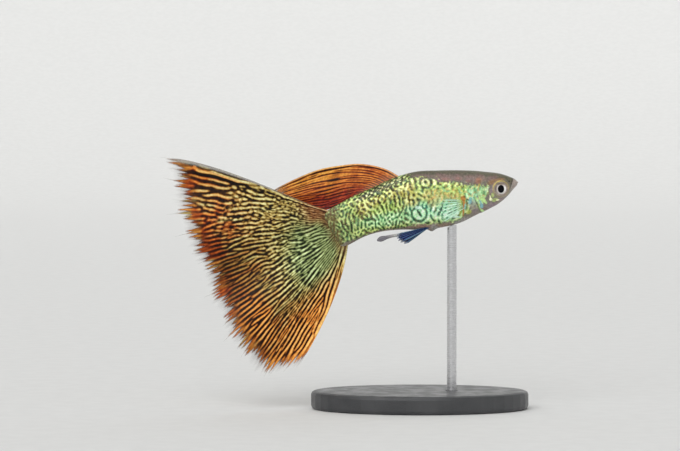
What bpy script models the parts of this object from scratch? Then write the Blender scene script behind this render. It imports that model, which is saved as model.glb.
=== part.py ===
# A male fancy guppy with a delta tail, as a still, life-size display model on its stand.
#
# +X runs to the snout, +Z up and +Y to the fish's left side. The origin is the centre of the
# base's underside. Sizes are in metres, written as millimetres times MM.

import bmesh
import bpy
import numpy as np
from mathutils import Matrix

MM = 0.001
JOINT_GAP = 0.25 * MM
SHARP_ANGLE = 40.0

# The body's outline, station by station from the lips to the tail root: the back's point, the
# belly's point, the half-width, how far up from the belly the body is widest, and how square
# the section is above that. All in mm but the last two.
BODY_STATIONS = {
    #            back x, back z, belly x, belly z, half-width, widest, squareness
    "lip tips":   (16.03, 37.62, 16.12, 37.34, 0.36, 0.50, 2.0),
    "lips":       (15.74, 37.95, 15.98, 36.98, 0.84, 0.50, 2.2),
    "mouth":      (15.10, 38.27, 15.45, 36.36, 1.22, 0.52, 2.4),
    "nostrils":   (14.05, 38.68, 14.36, 35.10, 1.74, 0.56, 2.6),
    "eyes":       (12.70, 39.02, 12.95, 33.92, 2.10, 0.58, 2.6),
    "cheeks":     (11.05, 39.20, 11.30, 33.02, 2.38, 0.58, 2.5),
    "shoulders":  (9.08, 39.38, 9.16, 32.00, 2.56, 0.57, 2.3),
    "breast":     (6.27, 39.46, 6.44, 30.72, 2.62, 0.56, 2.1),
    "belly":      (2.97, 39.42, 2.97, 29.92, 2.56, 0.55, 2.0),
    "vent":       (-0.66, 39.24, -0.17, 29.66, 2.34, 0.54, 2.0),
    "back fin":   (-4.29, 38.22, -3.14, 29.66, 2.00, 0.53, 2.0),
    "haunch":     (-8.09, 36.50, -6.11, 29.38, 1.60, 0.52, 2.0),
    "stem":       (-11.55, 34.92, -8.91, 28.62, 1.22, 0.51, 2.0),
    "tail root":  (-14.93, 33.05, -11.63, 27.25, 0.80, 0.50, 2.0),
}
BELLY_SQUARENESS = 2.1
BODY_SIDES = 30
HEAD_SIDES = 42

# How many rings each stretch between two stations has, close together on the head.
RINGS_BETWEEN = (3, 4, 6, 6, 6, 6, 4, 4, 4, 4, 4, 4, 4)
SMALLEST_RADIUS = 0.1 * MM

# The rear of the fish swings towards -Y, as a swimming fish's does.
SWAY_START_X = 4.0 * MM
SWAY_END_X = -14.0 * MM
SWAY_AT_END = 1.1 * MM

# The head, in x and z: the slit of the mouth, the lips beside it, the eyes and the rims round
# them, the nostrils, the groove across each cheek and the gill covers.
MOUTH_FRONT = np.array((15.34, 38.14)) * MM
MOUTH_CORNER = np.array((14.78, 36.55)) * MM
MOUTH_SLIT = 0.11 * MM
MOUTH_OVERSHOOT = 0.8 * MM
MOUTH_FLARE = 1.4
MOUTH_CUT_HALF_DEPTH = 3.0 * MM
LIP_RISE = 0.11 * MM
LIP_SPREAD = 0.24 * MM
EYE_CENTRE = np.array((13.28, 36.42)) * MM
EYE_Y = 1.38 * MM
EYE_RADIUS = 0.98 * MM
EYE_DEPTH_RADIUS = 0.84 * MM
EYE_GAP = 0.16 * MM
EYE_MESH = (22, 12)
SOCKET_MESH = (24, 12)
EYE_RIM_RISE = 0.10 * MM
EYE_RIM_RADIUS = 1.24 * MM
EYE_RIM_SPREAD = 0.24 * MM
NOSTRIL_X = 14.62 * MM
NOSTRIL_Z = 37.62 * MM
NOSTRIL_RADIUS = 0.15 * MM
NOSTRIL_DEPTH = 0.375 * MM
NOSTRIL_MESH = (10, 6)
NOSTRIL_STATION = 2.55
NOSTRIL_ANGLE = 0.95
CHEEK_GROOVE_DEPTH = 0.09 * MM
CHEEK_GROOVE_RADIUS = 2.25 * MM
CHEEK_GROOVE_SPREAD = 0.22 * MM
CHEEK_GROOVE_BEARING = 225.0
CHEEK_GROOVE_SWEEP = 60.0
GILL_X = 10.15 * MM
GILL_BULGE = 1.15 * MM
GILL_Z = 35.10 * MM
GILL_SPREAD = 1.75 * MM
GILL_COVER_RISE = 0.18 * MM
GILL_COVER_REACH = 1.1 * MM
SHOULDER_DIP = 0.10 * MM
SHOULDER_DIP_REACH = 0.66 * MM

# The head's cutter: everything ahead of the gill covers' edges, between these heights.
HEAD_CUT_HEIGHTS = np.linspace(30.0, 41.0, 23) * MM
HEAD_CUT_FRONT = 20.0 * MM
HEAD_CUT_HALF_DEPTH = 5.0 * MM

# The vent's bump on the belly.
VENT_X = 2.0 * MM
VENT_RISE = 0.42 * MM
VENT_SPREAD = 0.60 * MM
VENT_ANGLE_SPREAD = 0.30

# Where the head, the torso and the tail stem begin and end, as station numbers. The head and
# the torso overlap, and are parted along the edges of the gill covers.
HEAD_END = 7.0
TORSO_START = 5.0
STEM_START = 11.75
BODY_END = len(BODY_STATIONS) - 1.0
ROOM_START = 3.0
ROOM_SHORT = 0.02

# The fins' membranes and rays, and how much of the fringe's depth lies inside the outline.
MEMBRANE = 0.50 * MM
RAY_HEIGHT = 0.13 * MM
FIN_ROOT = 1.00 * MM
FIN_TIP = 0.14 * MM
FIN_ROOT_SHARE = 0.16
FIN_TIP_SHARE = 0.12
FORK_START = 0.30
FORK_SPAN = 0.25
FRINGE_INSIDE = 0.4
ROOT_SUNK = 0.70 * MM

# The tail fin's outer edge, from its top corner to its bottom one, and the directions in degrees
# in which its first and last rays leave the tail root. How far a ray keeps to the direction in
# which it leaves or arrives is a share of its length.
TAIL_EDGE = np.array(((-41.6, 41.8), (-40.2, 35.4), (-38.5, 29.0), (-35.8, 23.0),
                      (-33.5, 16.9), (-30.4, 11.0), (-26.1, 6.1), (-20.1, 7.0))) * MM
TAIL_LEAVES = (166.0, 265.0)
TAIL_LEAVING_SHARE = (0.17, 0.05)
TAIL_ARRIVING_SHARE = (0.34, 0.08)
TAIL_ARRIVING_TURN = (3.0, 10.0, -14.0)
TAIL_CORNER_SPREAD = 0.15
TAIL_ROOT_MARGIN = 0.1 * MM
TAIL_BRANCHES = 32
TAIL_ROWS = 15
TAIL_FRINGE = 1.6 * MM
TAIL_FRINGE_SHARE = 0.10
TAIL_FOLD = 1.25 * MM
TAIL_FOLDS = 2.3
TAIL_TOP_LEAN = 1.0 * MM

# The back fin's base, front ray, last ray and rear end, in x and z.
DORSAL_BASE = np.array(((-3.25, 38.55), (-7.2, 36.95), (-10.6, 35.45))) * MM
DORSAL_FRONT = np.array(((-3.25, 38.55), (-6.4, 39.90), (-9.8, 40.50), (-13.3, 40.22),
                         (-16.9, 39.5), (-20.6, 38.0), (-23.9, 36.35))) * MM
DORSAL_LAST = np.array(((-10.6, 35.45), (-13.4, 34.35), (-16.5, 33.45), (-20.2, 33.6))) * MM
DORSAL_END = np.array(((-23.9, 36.35), (-23.4, 34.8), (-20.2, 33.6))) * MM
DORSAL_RAYS = 11
DORSAL_ROWS = 12
DORSAL_LEAN = 0.24
DORSAL_LEAN_FADE = 30.0 * MM
DORSAL_FRINGE = 0.9 * MM
DORSAL_WAVE = 0.35 * MM
DORSAL_WAVES = 1.4

# The small fins: their fringe, thickened root, low rays and outward curl, and for each pair the
# root's place and direction and the directions and lengths of its rays.
SMALL_FIN_FRINGE = 0.4 * MM
SMALL_FIN_FRINGE_SHARE = 0.15
SMALL_FIN_ROOT_SHARE = 0.25
SMALL_FIN_RIDGE = 0.8
SMALL_FIN_CURL = 0.12

PECTORAL_RAYS = 9
PECTORAL_ROWS = 6
PECTORAL_LENGTH = 3.7 * MM
PECTORAL_ROOT = 1.9 * MM
PECTORAL_SPREAD_OUT = 27.0
PECTORAL_DROOP = 0.10
PECTORAL_ROOT_TILT = -0.12
PECTORAL_STATION = 6.95
PECTORAL_ANGLE = 1.95
PECTORAL_TURN = (10.0, -26.0)
PECTORAL_SHARES = (0.75, 1.0, 0.10)

PELVIC_RAYS = 5
PELVIC_ROWS = 7
PELVIC_LENGTH = 5.2 * MM
PELVIC_OFFSET = 0.86 * MM
PELVIC_X = 1.05 * MM
PELVIC_Z = 29.95 * MM
PELVIC_ROOT = 1.1 * MM
PELVIC_ROOT_WAY = (0.75, -0.05, -0.10)
PELVIC_BACK = {"left": (-0.86, 0.17, -0.50), "right": (-0.92, 0.17, -0.36)}
PELVIC_TURN = (10.0, -26.0)
PELVIC_SHARES = (1.0, 0.62, 0.05)

# The gonopodium's middle line in x and z, and its hood: where it is along the line, how far it
# spreads, and where the tip starts to close.
GONOPODIUM_LINE = np.array(((0.10, 30.35), (-0.15, 29.55), (-0.85, 29.02), (-2.4, 28.86),
                            (-4.3, 28.66), (-6.0, 28.24), (-7.1, 27.86))) * MM
GONOPODIUM_RADIUS = 0.30 * MM
GONOPODIUM_RINGS = 19
GONOPODIUM_SIDES = 10
HOOD_AT = 0.88
HOOD_SPREAD = 0.09
TIP_CLOSES_AT = 0.93
TIP_CLOSES_OVER = 0.075

# The stand.
BASE_X_RADIUS = 18.0 * MM
BASE_Y_RADIUS = 12.0 * MM
BASE_HEIGHT = 3.0 * MM
BASE_BEVEL = 0.6 * MM
BASE_BEVEL_ABOVE = 50.0
BASE_SIDES = 44
ROD_X = 5.28 * MM
ROD_RADIUS = 0.80 * MM
ROD_SIDES = 18
ROD_SOCKET_DEPTH = 1.5 * MM
ROD_TOP = 33.0 * MM
SOCKET_OVERSHOOT = 1.0 * MM

STATIONS = np.array(list(BODY_STATIONS.values()))
STATIONS[:, :5] *= MM


def clear_scene():
    for thing in list(bpy.data.objects):
        bpy.data.objects.remove(thing, do_unlink=True)


def make_collection(name, parent=None):
    made = bpy.data.collections.new(name)
    (parent or bpy.context.scene.collection).children.link(made)
    return made


def make_material(name, colour, roughness, metallic=0.0):
    made = bpy.data.materials.new(name)
    made.use_nodes = True
    shader = made.node_tree.nodes["Principled BSDF"]
    shader.inputs["Base Color"].default_value = (*colour, 1.0)
    shader.inputs["Roughness"].default_value = roughness
    shader.inputs["Metallic"].default_value = metallic
    made.diffuse_color = (*colour, 1.0)
    return made


def curve_through(points, t):
    # A Catmull-Rom curve through the rows of points, where t counts the rows.
    ends = (2 * points[:1] - points[1:2], points, 2 * points[-1:] - points[-2:-1])
    p = np.vstack(ends)
    t = np.asarray(t, float)
    row = np.clip(np.floor(t).astype(int), 0, len(points) - 2)
    f = (t - row)[..., None]
    a, b, c, d = p[row], p[row + 1], p[row + 2], p[row + 3]
    straight = 2 * b + (c - a) * f
    bend = (2 * a - 5 * b + 4 * c - d) * f**2
    turn = (3 * b - a - 3 * c + d) * f**3
    return 0.5 * (straight + bend + turn)


def sway(x):
    # The sideways swing at x: it grows as the square of the way back, then runs straight.
    span = SWAY_START_X - SWAY_END_X
    way = np.clip((SWAY_START_X - x) / span, 0.0, 1.0)
    beyond = np.clip((SWAY_END_X - x) / span, 0.0, None)
    return -SWAY_AT_END * (way**2 + 2.0 * beyond)


def hill(distance, spread):
    return np.exp(-((distance / spread) ** 2))


def lip_rise(x, z):
    # Lips stand on both sides of the slit, along its length only.
    along = MOUTH_CORNER - MOUTH_FRONT
    length = np.linalg.norm(along)
    along = along / length
    way = (x - MOUTH_FRONT[0]) * along[0] + (z - MOUTH_FRONT[1]) * along[1]
    across = (x - MOUTH_FRONT[0]) * along[1] - (z - MOUTH_FRONT[1]) * along[0]
    inside = hill(np.clip(np.abs(way - length / 2) - length / 2, 0.0, None), LIP_SPREAD)
    return LIP_RISE * hill(across, LIP_SPREAD) * inside


def gill_edge(z):
    # The rear edge of the gill cover: a line that bows backwards.
    return GILL_X - GILL_BULGE * hill(z - GILL_Z, GILL_SPREAD)


def head_relief(x, z, covered):
    # What stands out from the side of the head, and what is sunk into it. The gill cover's edge
    # stands up where covered, and elsewhere the shoulder dips towards it.
    dx, dz = x - EYE_CENTRE[0], z - EYE_CENTRE[1]
    out = np.hypot(dx, dz)
    rim = EYE_RIM_RISE * hill(out - EYE_RIM_RADIUS, EYE_RIM_SPREAD)
    below = np.degrees(np.arctan2(dz, dx)) % 360
    sweep = hill(below - CHEEK_GROOVE_BEARING, CHEEK_GROOVE_SWEEP)
    groove = CHEEK_GROOVE_DEPTH * hill(out - CHEEK_GROOVE_RADIUS, CHEEK_GROOVE_SPREAD) * sweep
    ahead = x - gill_edge(z)
    cover = GILL_COVER_RISE * hill(ahead, GILL_COVER_REACH)
    dip = -SHOULDER_DIP * hill(ahead, SHOULDER_DIP_REACH)
    return rim - groove + (cover if covered else dip)


def body_points(t, angle, grow=0.0, covered=False):
    # The skin at station t and angle round it, 0 at the back and pi at the belly: each section
    # is a superellipse whose upper and lower halves differ in height and squareness.
    t, angle = np.broadcast_arrays(np.asarray(t, float), np.asarray(angle, float))
    value = curve_through(STATIONS, t)
    back, belly = value[..., 0:2], value[..., 2:4]
    width, widest = value[..., 4], value[..., 5]
    height = np.linalg.norm(back - belly, axis=-1)
    up = (back - belly) / height[..., None]
    middle = belly + (back - belly) * widest[..., None]
    c, s = np.cos(angle), np.sin(angle)
    rise = np.where(c > 0, (1 - widest) * height, widest * height)
    power = 2.0 / np.where(c > 0, value[..., 6], BELLY_SQUARENESS)
    q = rise * np.sign(c) * np.abs(c) ** power
    y = width * np.sign(s) * np.abs(s) ** power
    x, z = middle[..., 0] + up[..., 0] * q, middle[..., 1] + up[..., 1] * q
    on_side = np.abs(s) ** 0.5
    vent = VENT_RISE * hill(x - VENT_X, VENT_SPREAD) * hill(angle - np.pi, VENT_ANGLE_SPREAD)
    lift = grow + lip_rise(x, z) + head_relief(x, z, covered) * on_side + vent
    q_out = np.sign(c) * np.abs(c) ** (2 - power) / np.maximum(rise, SMALLEST_RADIUS)
    y_out = np.sign(s) * np.abs(s) ** (2 - power) / np.maximum(width, SMALLEST_RADIUS)
    out = np.sqrt(q_out**2 + y_out**2) + 1e-9
    x = x + up[..., 0] * q_out / out * lift
    z = z + up[..., 1] * q_out / out * lift
    y = y + y_out / out * lift
    return np.stack([x, y + sway(x), z], axis=-1)


def object_from(name, collection, vertices, faces, material=None):
    mesh = bpy.data.meshes.new(name)
    mesh.from_pydata([tuple(v) for v in vertices], [], faces)
    shape = bmesh.new()
    shape.from_mesh(mesh)
    bmesh.ops.recalc_face_normals(shape, faces=shape.faces)
    shape.to_mesh(mesh)
    shape.free()
    if material:
        mesh.materials.append(material)
    made = bpy.data.objects.new(name, mesh)
    if material:
        shade_round(made)
    collection.objects.link(made)
    return made


def loft(name, collection, rings, material=None):
    # A closed skin over rings of points, each end closed by a fan to its middle.
    count, sides = rings.shape[:2]
    points = np.vstack([rings.reshape(-1, 3), rings[0].mean(0), rings[-1].mean(0)])
    first, last = count * sides, count * sides + 1
    faces = []
    for ring in range(count - 1):
        for side in range(sides):
            a, b = ring * sides + side, ring * sides + (side + 1) % sides
            faces += [(a, b, b + sides), (a, b + sides, a + sides)]
    for side in range(sides):
        following = (side + 1) % sides
        faces.append((first, following, side))
        faces.append((last, last - 1 - sides + side, last - 1 - sides + following))
    return object_from(name, collection, points, faces, material)


def body_loft(name, collection, stretch, sides, grow=0.0, covered=False, material=None):
    from_station, to_station = stretch
    stops = [0.0]
    for station, rings in enumerate(RINGS_BETWEEN):
        stops += [station + (step + 1) / rings for step in range(rings)]
    inside = [t for t in stops if from_station < t < to_station]
    t = np.array([from_station, *inside, to_station])
    angle = np.linspace(0, 2 * np.pi, sides, endpoint=False)
    rings = body_points(t[:, None], angle[None, :], grow, covered)
    return loft(name, collection, rings, material)


def prism(name, collection, outline, half_depth):
    # A cutter: an outline in x and z, carried from -half_depth to half_depth along y.
    count = len(outline)
    near = [(x, -half_depth, z) for x, z in outline]
    far = [(x, half_depth, z) for x, z in outline]
    sides = [(i, (i + 1) % count, count + (i + 1) % count, count + i) for i in range(count)]
    faces = [tuple(range(count)), tuple(range(2 * count - 1, count - 1, -1)), *sides]
    return object_from(name, collection, near + far, faces)


def ellipsoid(name, collection, centre, radii, segments_and_rings, material=None):
    segments, rings = segments_and_rings
    bpy.ops.mesh.primitive_uv_sphere_add(segments=segments, ring_count=rings, radius=1.0)
    made = bpy.context.object
    made.name = made.data.name = name
    made.data.transform(sphere_matrix(centre, radii))
    move_to(made, collection)
    if material:
        made.data.materials.append(material)
        made.data.shade_smooth()
    return made


def sphere_matrix(centre, radii):
    # The sphere's poles are turned to face sideways, along y.
    matrix = np.array([[radii[0], 0, 0, centre[0]], [0, 0, radii[1], centre[1]],
                       [0, -radii[2], 0, centre[2]], [0, 0, 0, 1]])
    return Matrix(matrix.tolist())


def move_to(thing, collection):
    for old in list(thing.users_collection):
        old.objects.unlink(thing)
    collection.objects.link(thing)


def shade_round(thing):
    thing.data.shade_smooth()
    thing.data.set_sharp_from_angle(angle=np.radians(SHARP_ANGLE))


def hide_cutter(cutter):
    cutter.hide_render = True
    cutter.display_type = "WIRE"


def boolean(thing, cutter, operation="DIFFERENCE"):
    made = thing.modifiers.new(f"{operation.lower()} {cutter.name}", "BOOLEAN")
    made.operation = operation
    made.solver = "EXACT"
    made.object = cutter
    hide_cutter(cutter)


def fin(name, collection, columns, rows, point, thickness, material):
    # A thin fin: a grid of u across the rays and v along them, placed by point(u, v), split
    # into triangles and thickened alike on both faces by thickness(u, v).
    shape = bmesh.new()
    bmesh.ops.create_grid(shape, x_segments=columns, y_segments=rows, size=0.5)
    u = np.array([vertex.co.x + 0.5 for vertex in shape.verts])
    v = np.array([vertex.co.y + 0.5 for vertex in shape.verts])
    places = point(u, v)
    thick = thickness(u, v)
    weights = shape.verts.layers.deform.verify()
    for vertex, place, share in zip(shape.verts, places, thick / thick.max()):
        vertex.co = place
        vertex[weights][0] = float(share)
    bmesh.ops.triangulate(shape, faces=shape.faces)
    rim = [edge.is_boundary for edge in shape.edges]
    mesh = bpy.data.meshes.new(name)
    shape.to_mesh(mesh)
    shape.free()
    mesh.materials.append(material)
    mesh.shade_smooth()
    for edge, sharp in zip(mesh.edges, rim):
        edge.use_edge_sharp = sharp
    made = bpy.data.objects.new(name, mesh)
    collection.objects.link(made)
    made.vertex_groups.new(name="thickness")
    shell = made.modifiers.new("thickness", "SOLIDIFY")
    shell.thickness = float(thick.max())
    shell.offset = 0.0
    shell.vertex_group = "thickness"
    shell.thickness_vertex_group = 0.0
    return made


def ray_ridges(u, v, rays):
    # Ridges along the rays, and at the far end twice as many, where each ray has forked.
    single = 0.5 - 0.5 * np.cos(2 * np.pi * rays * u)
    forked = 0.5 - 0.5 * np.cos(4 * np.pi * rays * u)
    fork = np.clip((v - FORK_START) / FORK_SPAN, 0.0, 1.0)
    return single * (1 - fork) + forked * fork


def fin_thickness(v, ridge, root_share=FIN_ROOT_SHARE, tip_share=FIN_TIP_SHARE):
    # Thick at the root, a membrane with ridged rays in the middle, and thin along the outer edge.
    root = np.clip(1 - v / root_share, 0.0, 1.0) ** 2
    tip = np.clip((v - 1 + tip_share) / tip_share, 0.0, 1.0)
    middle = MEMBRANE + (FIN_ROOT - MEMBRANE) * root + 2 * RAY_HEIGHT * ridge * (1 - root)
    return middle * (1 - tip) + FIN_TIP * tip


def build_body(parts, cutters, skin):
    head = body_loft("head", parts, (0.0, HEAD_END), HEAD_SIDES, covered=True, material=skin)
    torso = body_loft("torso", parts, (TORSO_START, STEM_START), BODY_SIDES, material=skin)
    step = curve_through(STATIONS, [STEM_START + 0.5]) - curve_through(STATIONS, [STEM_START - 0.5])
    stem_start = STEM_START + JOINT_GAP / np.linalg.norm(step[0, 2:4])
    body_loft("tail_stem", parts, (stem_start, BODY_END), BODY_SIDES, material=skin)

    heights = HEAD_CUT_HEIGHTS
    edge = gill_edge(heights)
    front = (HEAD_CUT_FRONT, heights[-1]), (HEAD_CUT_FRONT, heights[0])
    ahead = [*zip(edge, heights), *front]
    boolean(head, prism("in front of the gills", cutters, ahead, HEAD_CUT_HALF_DEPTH), "INTERSECT")
    grown = [*zip(edge - JOINT_GAP, heights), *front]
    boolean(torso, prism("gill gap", cutters, grown, HEAD_CUT_HALF_DEPTH))

    along = (MOUTH_CORNER - MOUTH_FRONT) / np.linalg.norm(MOUTH_CORNER - MOUTH_FRONT)
    across = np.array((-along[1], along[0])) * MOUTH_SLIT / 2
    outside = MOUTH_FRONT - along * MOUTH_OVERSHOOT
    flared = across * MOUTH_FLARE
    slit = [outside + flared, outside - flared, MOUTH_CORNER - across, MOUTH_CORNER + across]
    boolean(head, prism("mouth slit", cutters, slit, MOUTH_CUT_HALF_DEPTH))

    for side, sign in (("left", 1), ("right", -1)):
        centre = (EYE_CENTRE[0], sign * EYE_Y, EYE_CENTRE[1])
        hollow = tuple(radius + EYE_GAP for radius in (EYE_RADIUS, EYE_DEPTH_RADIUS, EYE_RADIUS))
        boolean(head, ellipsoid(f"{side} eye socket", cutters, centre, hollow, SOCKET_MESH))
        flank = body_points(NOSTRIL_STATION, sign * NOSTRIL_ANGLE, covered=True)
        nostril = (NOSTRIL_X, flank[1], NOSTRIL_Z)
        radii = (NOSTRIL_RADIUS, NOSTRIL_DEPTH, NOSTRIL_RADIUS)
        boolean(head, ellipsoid(f"{side} nostril", cutters, nostril, radii, NOSTRIL_MESH))


def build_eyes(parts, material):
    for side, sign in (("left", 1), ("right", -1)):
        centre = (EYE_CENTRE[0], sign * EYE_Y, EYE_CENTRE[1])
        radii = (EYE_RADIUS, EYE_DEPTH_RADIUS, EYE_RADIUS)
        ellipsoid(f"eye_{side}", parts, centre, radii, EYE_MESH, material)


def tail_point(u, v):
    # Each ray is a Bezier curve from the tail root to the fin's ragged outer edge.
    end = body_points(BODY_END, np.array([0.0, np.pi]))
    down = end[1, (0, 2)] - end[0, (0, 2)]
    height = np.linalg.norm(down)
    down = down / height
    behind = np.array((down[1], -down[0])) * JOINT_GAP
    way = TAIL_ROOT_MARGIN + u * (height - 2 * TAIL_ROOT_MARGIN)
    start = end[0, (0, 2)] + behind + way[:, None] * down
    tip = curve_through(TAIL_EDGE, u * (len(TAIL_EDGE) - 1))
    reach = tip - start
    chord = np.arctan2(reach[:, 1], reach[:, 0]) % (2 * np.pi)
    length = np.linalg.norm(reach, axis=1)[:, None]
    leave = np.radians(TAIL_LEAVES[0] + (TAIL_LEAVES[1] - TAIL_LEAVES[0]) * u**1.15)
    top, low = hill(u, TAIL_CORNER_SPREAD), hill(1 - u, TAIL_CORNER_SPREAD)
    turn, top_turn, low_turn = TAIL_ARRIVING_TURN
    arrive = chord + np.radians(turn + top_turn * top + low_turn * low)
    ahead = np.stack([np.cos(leave), np.sin(leave)], axis=1)
    final = np.stack([np.cos(arrive), np.sin(arrive)], axis=1)
    near = start + ahead * length * (TAIL_LEAVING_SHARE[0] + TAIL_LEAVING_SHARE[1] * u)[:, None]
    far = tip - final * length * (TAIL_ARRIVING_SHARE[0] + TAIL_ARRIVING_SHARE[1] * low)[:, None]
    w = v[:, None]
    flat = (1 - w)**3 * start + 3 * w * (1 - w)**2 * near + 3 * w**2 * (1 - w) * far + w**3 * tip

    # Teeth of uneven length along the outer edge: two slow waves vary them.
    tooth = 0.5 - 0.5 * np.cos(2 * np.pi * TAIL_BRANCHES * u)
    ragged = 0.85 + 0.3 * np.sin(37.0 * u + 1.3) + 0.2 * np.sin(71.0 * u)
    at_edge = np.clip((v - 1 + TAIL_FRINGE_SHARE) / TAIL_FRINGE_SHARE, 0.0, 1.0)
    fringe = at_edge * (tooth * ragged - FRINGE_INSIDE) * TAIL_FRINGE
    flat = flat + final * fringe[:, None]
    fold = TAIL_FOLD * np.sin(2 * np.pi * TAIL_FOLDS * u + 0.6) * v**1.6
    lean = -TAIL_TOP_LEAN * hill(u, 0.25) * v
    return np.stack([flat[:, 0], fold + lean + sway(flat[:, 0]), flat[:, 1]], axis=-1)


def build_tail_fin(parts, material):
    def thickness(u, v):
        ridge = ray_ridges(u, v, TAIL_BRANCHES // 2)
        return fin_thickness(v, ridge, tip_share=TAIL_FRINGE_SHARE)

    fin("caudal_fin", parts, TAIL_BRANCHES * 2, TAIL_ROWS, tail_point, thickness, material)


def dorsal_point(u, v):
    # A patch between four edges: the sum of the sheets ruled across and along it, less the sheet
    # ruled between its corners.
    base, front, last, end = DORSAL_BASE, DORSAL_FRONT, DORSAL_LAST, DORSAL_END
    tooth = 0.5 - 0.5 * np.cos(2 * np.pi * DORSAL_RAYS * u)
    at_edge = np.clip((v - 1 + FIN_TIP_SHARE) / FIN_TIP_SHARE, 0.0, 1.0)
    fringe = at_edge * (tooth - FRINGE_INSIDE) * DORSAL_FRINGE
    far = v + fringe / np.linalg.norm(front[-1] - front[0])
    on_base, on_end = (curve_through(edge, u * (len(edge) - 1)) for edge in (base, end))
    on_front, on_last = (curve_through(edge, far * (len(edge) - 1)) for edge in (front, last))
    a, b = u[:, None], far[:, None]
    corners = ((1 - a) * (1 - b) * base[0] + a * (1 - b) * base[-1]
               + (1 - a) * b * end[0] + a * b * end[-1])
    flat = (1 - b) * on_base + b * on_end + (1 - a) * on_front + a * on_last - corners
    out = np.linalg.norm(flat - on_base, axis=1)
    away = (on_end - on_base) / np.linalg.norm(on_end - on_base, axis=1)[:, None]
    first_row = np.clip(1 - v * DORSAL_ROWS, 0.0, 1.0)[:, None]
    flat = flat - (away + np.array((0.0, 1.0))) * ROOT_SUNK * first_row
    lean = DORSAL_LEAN * out * np.exp(-out / DORSAL_LEAN_FADE)
    wave = DORSAL_WAVE * np.sin(2 * np.pi * DORSAL_WAVES * u + 0.4) * v**1.5
    return np.stack([flat[:, 0], lean + wave + sway(flat[:, 0]), flat[:, 1]], axis=-1)


def build_dorsal_fin(parts, material, torso_room):
    def thickness(u, v):
        return fin_thickness(v, 0.5 - 0.5 * np.cos(2 * np.pi * DORSAL_RAYS * u))

    made = fin("dorsal_fin", parts, DORSAL_RAYS * 2, DORSAL_ROWS, dorsal_point, thickness, material)
    boolean(made, torso_room)


def fan(root, up, back, side, turn, lengths, rays):
    # A fan of rays from a short root line along up. Each ray is turned from back towards up by
    # an angle in degrees, from the first of turn to its second, and curls out to the fish's
    # side. The lengths are the first ray's, the last ray's and what the middle ones have more.
    up_unit = up / np.linalg.norm(up)
    out = np.array((0.0, side, 0.0))

    def point(u, v):
        angle = np.radians(turn[0] + (turn[1] - turn[0]) * u)
        reach = lengths[0] + (lengths[1] - lengths[0]) * u + lengths[2] * np.sin(np.pi * u)
        tooth = 0.5 - 0.5 * np.cos(2 * np.pi * rays * u)
        at_edge = np.clip((v - 1 + SMALL_FIN_FRINGE_SHARE) / SMALL_FIN_FRINGE_SHARE, 0.0, 1.0)
        reach = reach * v + SMALL_FIN_FRINGE * (tooth - FRINGE_INSIDE) * at_edge
        reach = reach - ROOT_SUNK * (1 - v) ** 3
        start = root[None, :] + (0.5 - u)[:, None] * up[None, :]
        ahead = np.cos(angle)[:, None] * back[None, :] + np.sin(angle)[:, None] * up_unit[None, :]
        curl = out[None, :] * (v**1.6 * lengths[0] * SMALL_FIN_CURL)[:, None]
        return start + reach[:, None] * ahead + curl

    return point


def small_fin(name, parts, size, point, material, torso_room):
    rays, rows = size

    def thickness(u, v):
        ridge = SMALL_FIN_RIDGE * (0.5 - 0.5 * np.cos(2 * np.pi * rays * u))
        return fin_thickness(v, ridge, root_share=SMALL_FIN_ROOT_SHARE)

    made = fin(name, parts, rays * 2, rows, point, thickness, material)
    boolean(made, torso_room)


def build_pectoral_fins(parts, material, torso_room):
    spread = np.radians(PECTORAL_SPREAD_OUT)
    lengths = [PECTORAL_LENGTH * share for share in PECTORAL_SHARES]
    for side, sign in (("left", 1), ("right", -1)):
        root = body_points(PECTORAL_STATION, sign * PECTORAL_ANGLE)
        up = np.array((PECTORAL_ROOT_TILT, 0.0, 1.0)) * PECTORAL_ROOT
        back = np.array((-np.cos(spread), sign * np.sin(spread), -PECTORAL_DROOP))
        point = fan(root, up, back, sign, PECTORAL_TURN, lengths, PECTORAL_RAYS)
        size = (PECTORAL_RAYS, PECTORAL_ROWS)
        small_fin(f"pectoral_fin_{side}", parts, size, point, material, torso_room)


def build_pelvic_fins(parts, material, torso_room):
    # The left one hangs a little lower than the right one, so that both show from the side.
    lengths = [PELVIC_LENGTH * share for share in PELVIC_SHARES]
    for side, sign in (("left", 1), ("right", -1)):
        root = np.array((PELVIC_X, sign * PELVIC_OFFSET, PELVIC_Z))
        outwards = np.array((1.0, sign, 1.0))
        up = outwards * PELVIC_ROOT_WAY * PELVIC_ROOT
        back = outwards * PELVIC_BACK[side]
        point = fan(root, up, back, sign, PELVIC_TURN, lengths, PELVIC_RAYS)
        size = (PELVIC_RAYS, PELVIC_ROWS)
        small_fin(f"pelvic_fin_{side}", parts, size, point, material, torso_room)


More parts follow.
